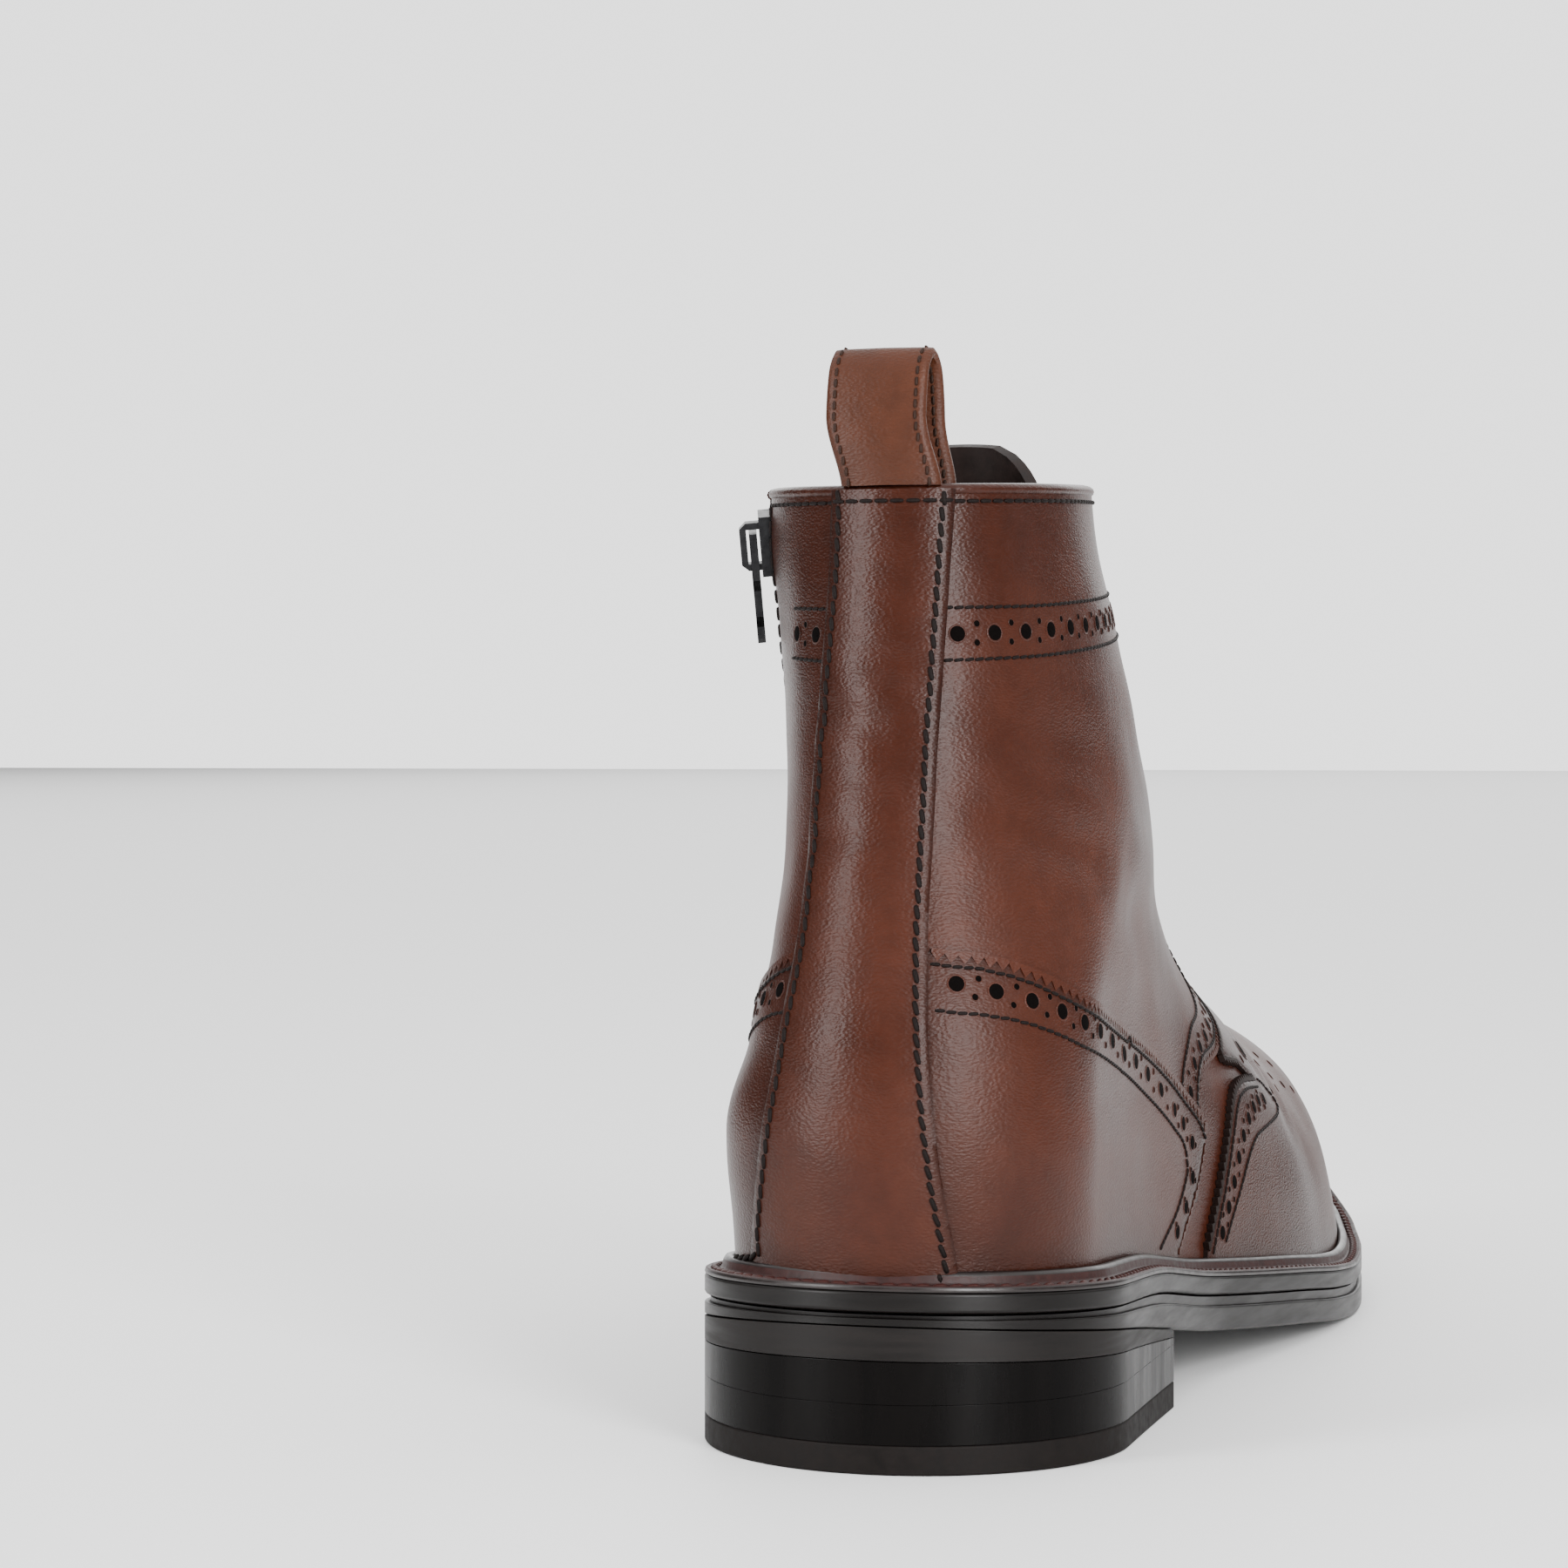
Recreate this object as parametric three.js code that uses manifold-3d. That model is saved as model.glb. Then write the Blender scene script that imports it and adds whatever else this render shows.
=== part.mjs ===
// Brogue ankle boot, right foot, with a derby front, an inner-side zip and a stacked heel.
// Millimetres. +Y runs to the toe, +X to the outer side, +Z up.
import * as THREE from 'three';
import { mergeVertices } from 'three/addons/utils/BufferGeometryUtils.js';
import Module from 'manifold-3d';

const wasm = await Module();
wasm.setup();

// Sole
const soleLength = 305;
const ballWidth = 106;
const heelWidth = 68;
const heelHeight = 22.5;
const heelLength = 72;
const toeSpring = 15;
const toeLength = 70;
const toePower = 2.2;
const toeSwing = 5;
const outsoleThickness = 5.9;
const grooveHeight = 1.5;
const grooveDepth = 1.4;
const midsoleThickness = 3.6;
const topPieceThickness = 4.6;
const liftThickness = 6.1;
const seatLiftThickness = 4.9;
const seatLiftTaper = 0.8;

// Upper, and the welt round it
const weltWidth = 5;
const weltGap = 0.4;
const weltRise = 3;
const wall = 2.2;
const collarHeight = 150;
const collarTilt = 5;
const ankleHalf = 24.5;
const toeBoxLength = 28;
const toeBoxPower = 2.4;
const legPower = 2.1;
const ridgeSwing = 6;
const fit = 0.3;

// Throat, tongue and insole
const throatBottom = 79;
const throatBottomHalf = 4.5;
const throatTopHalf = 9;
const tongueThickness = 2.4;
const tongueHalf = 16.5;
const tongueTopHalf = 17.5;
const tongueRise = 10;
const tongueRound = 11;
const insoleThickness = 3.2;

// Leather laid over the upper, and the loop at the back
const overlayThickness = 1.1;
const seamGap = 0.5;
const facingWidth = 17;
const loopWidth = 17.3;
const loopThickness = 1.8;
const loopShift = -1;

// Zip on the inner side
const zipTopY = 48;
const zipBottomY = 80;
const zipBottomZ = 38;
const zipSlotWidth = 7.4;
const tapeHalf = 11;
const tapeThickness = 0.7;
const teethHalf = 2.6;
const teethDepth = 0.9;
const sliderZ = 143.6;
const sliderLength = 10.2;
const sliderHalf = 3.2;
const sliderSunk = 0.6;
const sliderProud = 1.8;
const archHalf = 1;
const archThickness = 1.1;
const pullThickness = 1.3;
const pullHalf = 2.7;
const pullLength = 18.5;
const pullAxisUp = 1.5;
const pullAxisOut = 2.9;

// Lace
const laceRows = 5;
const laceBottom = 88;
const laceTop = 146;
const laceInset = 7;
const laceRadius = 1.1;
const laceDip = 1.2;

// Half the sole's width on each side of its centreline, in shares of the ball's width.
const outlineRows = [
  { at: 0.000, outer: 0.320, inner: 0.320 },
  { at: 0.110, outer: 0.321, inner: 0.321 },
  { at: 0.230, outer: 0.325, inner: 0.306 },
  { at: 0.330, outer: 0.343, inner: 0.262 },
  { at: 0.410, outer: 0.387, inner: 0.250 },
  { at: 0.490, outer: 0.434, inner: 0.290 },
  { at: 0.570, outer: 0.470, inner: 0.395 },
  { at: 0.635, outer: 0.481, inner: 0.462 },
  { at: 0.705, outer: 0.469, inner: 0.497 },
  { at: 0.770, outer: 0.441, inner: 0.481 },
  { at: 0.885, outer: 0.384, inner: 0.396 },
  { at: 1.000, outer: 0.370, inner: 0.300 },
];

// Underside of the outsole: shares of the heel's height and of the toe spring, and of the outsole's thickness.
const bottomRows = [
  { at: 0.000, heel: 1.000, toe: 0.00, thick: 0.29 },
  { at: 0.115, heel: 0.820, toe: 0.00, thick: 0.62 },
  { at: 0.230, heel: 0.595, toe: 0.00, thick: 0.98 },
  { at: 0.328, heel: 0.395, toe: 0.00, thick: 1.00 },
  { at: 0.410, heel: 0.270, toe: 0.00, thick: 1.00 },
  { at: 0.490, heel: 0.160, toe: 0.00, thick: 1.00 },
  { at: 0.570, heel: 0.045, toe: 0.00, thick: 1.00 },
  { at: 0.620, heel: 0.000, toe: 0.00, thick: 1.00 },
  { at: 0.710, heel: 0.000, toe: 0.00, thick: 1.00 },
  { at: 0.790, heel: 0.000, toe: 0.14, thick: 1.00 },
  { at: 0.885, heel: 0.000, toe: 0.50, thick: 1.00 },
  { at: 1.000, heel: 0.000, toe: 1.00, thick: 1.00 },
];

// The ridge over the instep and toe: shares of the sole's length and of the collar's height.
const ridgeRows = [
  { along: 0.300, up: 1.600 },
  { along: 0.350, up: 1.250 },
  { along: 0.382, up: 1.040 },
  { along: 0.402, up: 0.927 },
  { along: 0.431, up: 0.808 },
  { along: 0.466, up: 0.702 },
  { along: 0.507, up: 0.609 },
  { along: 0.552, up: 0.530 },
  { along: 0.604, up: 0.467 },
  { along: 0.660, up: 0.423 },
  { along: 0.738, up: 0.394 },
  { along: 0.820, up: 0.365 },
  { along: 0.900, up: 0.330 },
  { along: 1.000, up: 0.280 },
];

// The heel and leg by height. back: the back line in shares of the sole's length. outer, inner: half widths, and
// depth: how far the back is rounded, in shares of the ankle's half width. atBack, atFront: the middle line's swing.
const legRows = [
  { at: 0.000, back: 0.0170, outer: 1.130, inner: 1.140, depth: 1.18, atBack: -0.06, atFront: -0.10 },
  { at: 0.180, back: 0.0150, outer: 1.140, inner: 1.150, depth: 1.18, atBack: -0.06, atFront: -0.10 },
  { at: 0.330, back: 0.0050, outer: 1.190, inner: 1.170, depth: 1.20, atBack: -0.06, atFront: -0.10 },
  { at: 0.430, back: 0.0095, outer: 1.220, inner: 1.000, depth: 1.30, atBack: -0.06, atFront: -0.10 },
  { at: 0.530, back: 0.0230, outer: 1.250, inner: 0.930, depth: 1.55, atBack: -0.06, atFront: -0.10 },
  { at: 0.640, back: 0.0370, outer: 1.260, inner: 0.950, depth: 2.00, atBack: -0.06, atFront: -0.12 },
  { at: 0.750, back: 0.0480, outer: 1.230, inner: 1.000, depth: 2.10, atBack: -0.04, atFront: -0.22 },
  { at: 0.860, back: 0.0560, outer: 1.170, inner: 1.050, depth: 2.00, atBack: -0.02, atFront: -0.32 },
  { at: 1.000, back: 0.0620, outer: 1.060, inner: 1.120, depth: 1.90, atBack: 0.000, atFront: -0.40 },
  { at: 1.120, back: 0.0650, outer: 1.060, inner: 1.120, depth: 1.90, atBack: 0.000, atFront: -0.42 },
];

// How the wall rolls over to the ridge, along the foot: a larger power makes a fuller side.
const rollRows = [
  { at: 0.30, power: 2.6, root: 2.0 },
  { at: 0.45, power: 2.2, root: 1.9 },
  { at: 0.60, power: 2.1, root: 1.9 },
  { at: 0.80, power: 2.7, root: 2.1 },
  { at: 1.00, power: 2.8, root: 2.1 },
];

// Rings of the skin: each runs from a place on the ridge down to one on the feather line or the back line.
const ringRows = [
  { at: 0.00, ridge: 0.000, base: 0.000 },
  { at: 0.08, ridge: 0.055, base: 0.006 },
  { at: 0.16, ridge: 0.118, base: 0.025 },
  { at: 0.25, ridge: 0.204, base: 0.080 },
  { at: 0.34, ridge: 0.322, base: 0.155 },
  { at: 0.47, ridge: 0.510, base: 0.262 },
  { at: 0.58, ridge: 0.690, base: 0.405 },
  { at: 0.68, ridge: 0.776, base: 0.571 },
  { at: 0.77, ridge: 0.812, base: 0.702 },
  { at: 0.86, ridge: 0.850, base: 0.781 },
  { at: 0.94, ridge: 0.930, base: 0.900 },
  { at: 1.00, ridge: 1.000, base: 1.000 },
];

// The back strap's edges, seen from behind, in shares of the ankle's half width.
const strapRows = [
  { at: 0.100, left: -0.960, right: 0.560 },
  { at: 0.200, left: -0.870, right: 0.510 },
  { at: 0.327, left: -0.740, right: 0.416 },
  { at: 0.457, left: -0.604, right: 0.343 },
  { at: 0.593, left: -0.514, right: 0.298 },
  { at: 0.700, left: -0.502, right: 0.298 },
  { at: 0.833, left: -0.461, right: 0.318 },
  { at: 0.907, left: -0.433, right: 0.335 },
  { at: 1.060, left: -0.415, right: 0.370 },
];

// Edges of the overlays in the side view, in shares of the sole's length and of the collar's height.
const counterEdge = [
  { along: -0.020, up: 0.535 },
  { along: 0.037, up: 0.522 },
  { along: 0.056, up: 0.511 },
  { along: 0.080, up: 0.485 },
  { along: 0.160, up: 0.445 },
  { along: 0.287, up: 0.376 },
  { along: 0.345, up: 0.318 },
  { along: 0.370, up: 0.265 },
  { along: 0.348, up: 0.207 },
  { along: 0.317, up: 0.152 },
  { along: 0.300, up: 0.090 },
  { along: -0.020, up: 0.090 },
];
const quarterBack = [
  { along: 0.478, up: 0.470 },
  { along: 0.465, up: 0.432 },
  { along: 0.431, up: 0.411 },
  { along: 0.395, up: 0.400 },
  { along: 0.372, up: 0.381 },
  { along: 0.350, up: 0.352 },
  { along: 0.340, up: 0.300 },
];
const quarterFront = [
  { along: 0.372, up: 0.270 },
  { along: 0.373, up: 0.301 },
  { along: 0.383, up: 0.333 },
  { along: 0.403, up: 0.354 },
  { along: 0.440, up: 0.363 },
  { along: 0.498, up: 0.400 },
  { along: 0.538, up: 0.453 },
  { along: 0.564, up: 0.520 },
  { along: 0.620, up: 0.620 },
];
const wingEdge = [
  { along: 0.366, up: 0.090 },
  { along: 0.373, up: 0.141 },
  { along: 0.408, up: 0.238 },
  { along: 0.428, up: 0.287 },
  { along: 0.438, up: 0.303 },
  { along: 0.458, up: 0.319 },
  { along: 0.519, up: 0.318 },
  { along: 0.492, up: 0.343 },
  { along: 0.452, up: 0.357 },
  { along: 0.498, up: 0.405 },
  { along: 0.560, up: 0.500 },
  { along: 0.600, up: 0.600 },
  { along: 1.030, up: 0.600 },
  { along: 1.030, up: 0.090 },
];

// The loop's middle line behind the collar: millimetres forward of the back line and above the collar, and how
// far the strip is rounded there, as a radius.
const loopRows = [
  { forward: -0.3, up: 0.6, round: 16 },
  { forward: -0.5, up: 6.0, round: 26 },
  { forward: 0.3, up: 13.0, round: 60 },
  { forward: 2.0, up: 18.4, round: 120 },
  { forward: 5.0, up: 20.4, round: 200 },
  { forward: 8.2, up: 18.0, round: 120 },
  { forward: 9.4, up: 11.0, round: 60 },
  { forward: 8.0, up: 3.0, round: 30 },
  { forward: 6.2, up: -4.0, round: 19 },
  { forward: 5.0, up: -14.0, round: 17 },
];

// Reads one column of a table at any place between its rows, smoothly and without overshoot.
function readColumn(rows, column, at) {
  const last = rows.length - 1;
  if (at <= rows[0].at) return rows[0][column];
  if (at >= rows[last].at) return rows[last][column];
  let i = 0;
  while (rows[i + 1].at < at) i += 1;
  const slope = (j) => (rows[j + 1][column] - rows[j][column]) / (rows[j + 1].at - rows[j].at);
  const tangent = (j) => {
    if (j === 0) return slope(0);
    if (j === last) return slope(last - 1);
    const before = slope(j - 1);
    const after = slope(j);
    return before * after <= 0 ? 0 : (2 * before * after) / (before + after);
  };
  const span = rows[i + 1].at - rows[i].at;
  const t = (at - rows[i].at) / span;
  const startWeight = 2 * t ** 3 - 3 * t ** 2 + 1;
  const startTangent = (t ** 3 - 2 * t ** 2 + t) * span * tangent(i);
  const endTangent = (t ** 3 - t ** 2) * span * tangent(i + 1);
  return startWeight * rows[i][column] + startTangent + (1 - startWeight) * rows[i + 1][column] + endTangent;
}

const lerp = THREE.MathUtils.lerp;
const smooth = (value, low, high) => THREE.MathUtils.smoothstep(value, low, high);

// Sole surfaces
const centreline = (y) => -toeSwing * smooth(y, soleLength * 0.45, soleLength);
const soleBottom = (y) => heelHeight * readColumn(bottomRows, 'heel', y / soleLength)
  + toeSpring * readColumn(bottomRows, 'toe', y / soleLength);
const outsoleTop = (y) => soleBottom(y) + outsoleThickness * readColumn(bottomRows, 'thick', y / soleLength);
const midsoleTop = (y) => outsoleTop(y) + midsoleThickness;
const feather = (y) => midsoleTop(y) + fit;

// Half width of the sole's outline at y, drawn in by an inset all round.
function outlineHalf(y, inset, side) {
  const column = side > 0 ? 'outer' : 'inner';
  const half = ballWidth * readColumn(outlineRows, column, y / soleLength) - inset;
  const heelCentre = heelWidth / 2;
  const toeCentre = soleLength - toeLength;
  if (y < heelCentre) {
    const share = Math.min(1, (heelCentre - y) / (heelCentre - inset));
    return half * Math.sqrt(1 - share * share);
  }
  if (y > toeCentre) {
    const share = Math.min(1, (y - toeCentre) / (toeLength - inset));
    return half * (1 - share ** toePower) ** (1 / toePower);
  }
  return half;
}

// The ridge as a curve in the middle plane, from above the collar to the toe.
const ridgeCurve = new THREE.CatmullRomCurve3(
  ridgeRows.map((row) => new THREE.Vector3(0, row.along * soleLength, row.up * collarHeight)),
  false,
  'centripetal',
);
const ridgeSamples = ridgeCurve.getPoints(240);
const upperTip = soleLength - weltWidth;

function ridgeHeight(y) {
  let i = 0;
  while (i < ridgeSamples.length - 2 && ridgeSamples[i + 1].y < y) i += 1;
  const a = ridgeSamples[i];
  const b = ridgeSamples[i + 1];
  const top = lerp(a.z, b.z, (y - a.y) / (b.y - a.y));
  const boxStart = upperTip - toeBoxLength;
  if (y <= boxStart) return top;
  const share = Math.min(1, (y - boxStart) / toeBoxLength);
  return lerp(feather(y), top, (1 - share ** toeBoxPower) ** (1 / toeBoxPower));
}

function ridgeFront(z) {
  let i = ridgeSamples.length - 1;
  while (i > 1 && ridgeSamples[i - 1].z < z) i -= 1;
  const a = ridgeSamples[i - 1];
  const b = ridgeSamples[i];
  return lerp(b.y, a.y, (z - b.z) / (a.z - b.z));
}

const legColumn = (column, z) => readColumn(legRows, column, z / collarHeight);
const backLine = (z) => soleLength * legColumn('back', z);
const legHalf = (z, side) => ankleHalf * legColumn(side > 0 ? 'outer' : 'inner', z);
const legness = (z) => smooth(z, collarHeight * 0.27, collarHeight * 0.6);
const riseAt = (y, z) => THREE.MathUtils.clamp(
  (z - feather(y)) / Math.max(0.01, ridgeHeight(y) - feather(y)), 0, 1);

// Half width of the upper's outer skin at a place in the side view.
function skinHalf(y, z, side) {
  const rise = riseAt(y, z);
  const power = readColumn(rollRows, 'power', y / soleLength);
  const root = readColumn(rollRows, 'root', y / soleLength);
  const roll = (1 - rise ** power) ** (1 / root);
  const heelward = 1 - smooth(y, heelLength * 0.6, heelLength * 1.7);
  const shifted = y - (backLine(z) - weltWidth) * heelward;
  const swell = legHalf(z, side) / (heelWidth / 2 - weltWidth);
  const foot = outlineHalf(shifted, weltWidth, side) * lerp(1, swell, heelward) * roll;
  const depth = ankleHalf * legColumn('depth', z);
  const middle = backLine(z) + depth;
  const reach = y < middle ? depth : ridgeFront(z) - middle;
  const share = Math.min(1, Math.abs(y - middle) / reach);
  const leg = legHalf(z, side) * (1 - share ** legPower) ** (1 / legPower);
  return lerp(foot, leg, legness(z));
}

// Middle of the upper at a place in the side view.
function skinCentre(y, z) {
  const foot = lerp(centreline(y), -ridgeSwing * smooth(y, 0, soleLength * 0.4), riseAt(y, z));
  const share = (y - backLine(z)) / (ridgeFront(z) - backLine(z));
  const leg = ankleHalf * lerp(legColumn('atBack', z), legColumn('atFront', z), share);
  return lerp(foot, leg, legness(z));
}

function skinPoint(y, z, side) {
  return new THREE.Vector3(skinCentre(y, z) + side * skinHalf(y, z, side), y, z);
}

// Places along the ridge from the toe's tip to the collar, and along the feather line and the back line.
function pathOf(points) {
  const path = new THREE.CurvePath();
  for (let i = 1; i < points.length; i += 1) path.add(new THREE.LineCurve3(points[i - 1], points[i]));
  return path;
}

const ringCount = 30;
const pointsPerSide = 9;
const outlineSteps = 26;

function ridgePath() {
  const points = [new THREE.Vector3(0, upperTip, feather(upperTip))];
  for (let i = 1; i <= 60; i += 1) {
    const y = upperTip - toeBoxLength * (i / 60) ** 2;
    points.push(new THREE.Vector3(0, y, ridgeHeight(y)));
  }
  const top = collarHeight + collarTilt;
  const inOrder = ridgeSamples.slice().reverse();
  for (const sample of inOrder) {
    if (sample.y < upperTip - toeBoxLength && sample.z < top) points.push(sample);
  }
  return pathOf(points);
}

function basePath() {
  const points = [];
  for (let i = 0; i <= 80; i += 1) {
    const y = lerp(upperTip, backLine(feather(0)), i / 80);
    points.push(new THREE.Vector3(0, y, feather(y)));
  }
  const start = points[points.length - 1].z;
  for (let i = 1; i <= 60; i += 1) {
    const z = lerp(start, collarHeight, i / 60);
    points.push(new THREE.Vector3(0, backLine(z), z));
  }
  return pathOf(points);
}

const ridgeWay = ridgePath();
const baseWay = basePath();
const cornerShare = (upperTip - backLine(feather(0))) / baseWay.getLength();

// One ring of the skin: outer side from the ridge down, then the inner side back up.
function ringPoints(share) {
  const ridge = ridgeWay.getPointAt(readColumn(ringRows, 'ridge', share));
  const baseShare = readColumn(ringRows, 'base', share);
  const base = baseWay.getPointAt(baseShare);
  const points = [];
  for (const side of [1, -1]) {
    const half = [];
    for (let j = 0; j <= pointsPerSide; j += 1) {
      const t = (1 - Math.cos((Math.PI * j) / pointsPerSide)) / 2;
      const y = lerp(ridge.y, base.y, t);
      const z = lerp(ridge.z, base.z, t);
      const point = skinPoint(y, z, side);
      if (j === 0) point.x = skinCentre(y, z);
      half.push(point);
    }
    if (side < 0) half.reverse();
    points.push(...half);
  }
  points.pop();
  return points;
}

function skinRings() {
  const rings = [];
  for (let k = 0; k <= ringCount; k += 1) rings.push(ringPoints(k / ringCount));
  return rings;
}

// A closed solid from rings of equal length, with flat ends.
function loft(rings) {
  const size = rings[0].length;
  const positions = rings.flat().flatMap((p) => [p.x, p.y, p.z]);
  const index = [];
  for (let k = 0; k < rings.length - 1; k += 1) {
    for (let j = 0; j < size; j += 1) {
      const next = (j + 1) % size;
      const a = k * size + j;
      const b = k * size + next;
      index.push(a, a + size, b, b, a + size, b + size);
    }
  }
  const addEnd = (start, flip) => {
    const middle = new THREE.Vector3();
    for (let j = 0; j < size; j += 1) middle.add(new THREE.Vector3().fromArray(positions, (start + j) * 3));
    middle.divideScalar(size);
    const centre = positions.length / 3;
    positions.push(middle.x, middle.y, middle.z);
    for (let j = 0; j < size; j += 1) {
      const next = start + ((j + 1) % size);
      if (flip) index.push(centre, start + j, next);
      else index.push(centre, next, start + j);
    }
  };
  addEnd(0, true);
  addEnd((rings.length - 1) * size, false);
  return weld(positions, index);
}

// Joins shared corners and drops faces that have no area.
function weld(positions, index) {
  const raw = new THREE.BufferGeometry();
  raw.setAttribute('position', new THREE.Float32BufferAttribute(positions, 3));
  raw.setIndex(index);
  const merged = mergeVertices(raw, 1e-4);
  const kept = [];
  const list = merged.index.array;
  for (let i = 0; i < list.length; i += 3) {
    const [a, b, c] = [list[i], list[i + 1], list[i + 2]];
    if (a !== b && b !== c && a !== c) kept.push(a, b, c);
  }
  merged.setIndex(kept);
  return merged;
}

function toSolid(geometry) {
  return new wasm.Manifold(new wasm.Mesh({
    numProp: 3,
    vertProperties: new Float32Array(geometry.attributes.position.array),
    triVerts: new Uint32Array(geometry.index.array),
  }));
}

function toGeometry(solid) {
  const mesh = solid.getMesh();
  const geometry = new THREE.BufferGeometry();
  geometry.setAttribute('position', new THREE.Float32BufferAttribute(mesh.vertProperties, 3));
  geometry.setIndex(Array.from(mesh.triVerts));
  return geometry;
}

// The skin moved out or in along its own normals, with the collar and the underside run on where asked.
const rings = skinRings();

function ringNormals() {
  const size = rings[0].length;
  const at = (k, j) => rings[THREE.MathUtils.clamp(k, 0, ringCount)][(j + size) % size];
  const normals = [];
  for (let k = 0; k <= ringCount; k += 1) {
    const row = [];
    for (let j = 0; j < size; j += 1) {
      const onSole = readColumn(ringRows, 'base', k / ringCount) < cornerShare;
      const before = onSole && j === pointsPerSide + 1 ? j : j - 1;
      const after = onSole && j === pointsPerSide ? j : j + 1;
      const along = at(k + 1, j).clone().sub(at(k - 1, j));
      const around = at(k, after).clone().sub(at(k, before));
      row.push(around.cross(along).normalize().negate());
    }
    normals.push(row);
  }
  for (let k = 0; k <= ringCount; k += 1) {
    const onSole = readColumn(ringRows, 'base', k / ringCount) < cornerShare;
    if (!onSole) {
      const middle = normals[k][pointsPerSide].clone().add(normals[k][pointsPerSide + 1]);
      middle.x = 0;
      middle.normalize();
      normals[k][pointsPerSide] = middle;
      normals[k][pointsPerSide + 1] = middle.clone();
    }
  }
  const tip = new THREE.Vector3(0, 1, 0);
  normals[0] = normals[0].map(() => tip.clone());
  return normals;
}

const normals = ringNormals();

function skinVolume(offset, runOn) {
  const moved = rings.map((ring, k) => ring.map((point, j) => {
    const result = point.clone().addScaledVector(normals[k][j], offset);
    const atBase = j === pointsPerSide || j === pointsPerSide + 1;
    const onSole = readColumn(ringRows, 'base', k / ringCount) < cornerShare;
    if (atBase && onSole) result.z = point.z - runOn;
    return result;
  }));
  if (runOn > 0) {
    const last = moved[ringCount];
    moved.push(last.map((point) => point.clone().setZ(point.z + runOn)));
  }
  return toSolid(loft(moved));
}

// A cross-section over the ridge, square to it in the side view, at a height on the instep or leg.
function overRidge(z) {
  const step = 0.5;
  const run = ridgeFront(z + step) - ridgeFront(z - step);
  const length = Math.hypot(run, 2 * step);
  const inward = { y: (-2 * step) / length, z: run / length };
  const y = ridgeFront(z);
  const place = (x, depth) => new THREE.Vector3(x, y + inward.y * depth, z + inward.z * depth);
  const depthFor = (half, side) => {
    let low = 0;
    let high = 40;
    for (let i = 0; i < 40; i += 1) {
      const middle = (low + high) / 2;
      const point = place(0, middle);
      if (skinHalf(point.y, point.z, side) < half) low = middle;
      else high = middle;
    }
    return high;
  };
  const onSkin = (across) => {
    const depth = depthFor(Math.abs(across), Math.sign(across) || 1);
    const point = place(0, depth);
    return { x: skinCentre(point.y, point.z) + across, depth };
  };
  // A point across the ridge, moved in under the skin.
  const under = (across, inset) => {
    const middle = onSkin(across);
    const before = onSkin(across - 0.4);
    const after = onSkin(across + 0.4);
    const dx = after.x - before.x;
    const dd = after.depth - before.depth;
    const size = Math.hypot(dx, dd);
    return place(middle.x - (dd / size) * inset, middle.depth + (dx / size) * inset);
  };
  return { place, under, centre: skinCentre(y, z) };
}

const collarFront = collarHeight + collarTilt;
const throatHalf = (z) => lerp(throatBottomHalf, throatTopHalf, smooth(z, throatBottom, collarFront));

function throatCutter(grow) {
  const sections = [];
  for (let z = throatBottom; z < collarFront + 16; z += 8) {
    const section = overRidge(z);
    const half = throatHalf(z) + grow;
    sections.push([[half, -9], [half, 9], [-half, 9], [-half, -9]].map(
      ([x, depth]) => section.place(section.centre + x, depth)));
  }
  return toSolid(loft(sections));
}

// A prism square to the side view, from an outline in y and z.
function sidePrism(outline, xFrom, xTo) {
  const shape = new THREE.Shape(outline.map(([y, z]) => new THREE.Vector2(y, z)));
  const prism = new THREE.ExtrudeGeometry(shape, { depth: xTo - xFrom, bevelEnabled: false });
  prism.translate(0, 0, xFrom);
  const axes = new THREE.Matrix4().makeBasis(
    new THREE.Vector3(0, 1, 0), new THREE.Vector3(0, 0, 1), new THREE.Vector3(1, 0, 0));
  prism.applyMatrix4(axes);
  prism.deleteAttribute('normal');
  prism.deleteAttribute('uv');
  return toSolid(mergeVertices(prism, 1e-4));
}

const zipY = (z) => lerp(zipBottomY, zipTopY, (z - zipBottomZ) / (collarHeight - zipBottomZ));

function zipBand(half, zFrom, zTo) {
  return [[zipY(zFrom) - half, zFrom], [zipY(zFrom) + half, zFrom], [zipY(zTo) + half, zTo], [zipY(zTo) - half, zTo]];
}

const outerReach = ballWidth;
const runOn = 4;
const innerSide = (outline) => sidePrism(outline, -outerReach, -ankleHalf * 0.3);
const bothSides = (outline) => sidePrism(outline, -outerReach, outerReach);
const slotBand = (grow) => zipBand(zipSlotWidth / 2 + grow, zipBottomZ - grow, collarFront + 20);

// A prism square to the back view, from an outline in x and z.
function backPrism(outline, yFrom, yTo) {
  const shape = new THREE.Shape(outline.map(([x, z]) => new THREE.Vector2(x, z)));
  const prism = new THREE.ExtrudeGeometry(shape, { depth: yTo - yFrom, bevelEnabled: false });
  prism.translate(0, 0, -yTo);
  prism.rotateX(Math.PI / 2);
  prism.deleteAttribute('normal');
  prism.deleteAttribute('uv');
  return toSolid(mergeVertices(prism, 1e-4));
}

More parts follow.
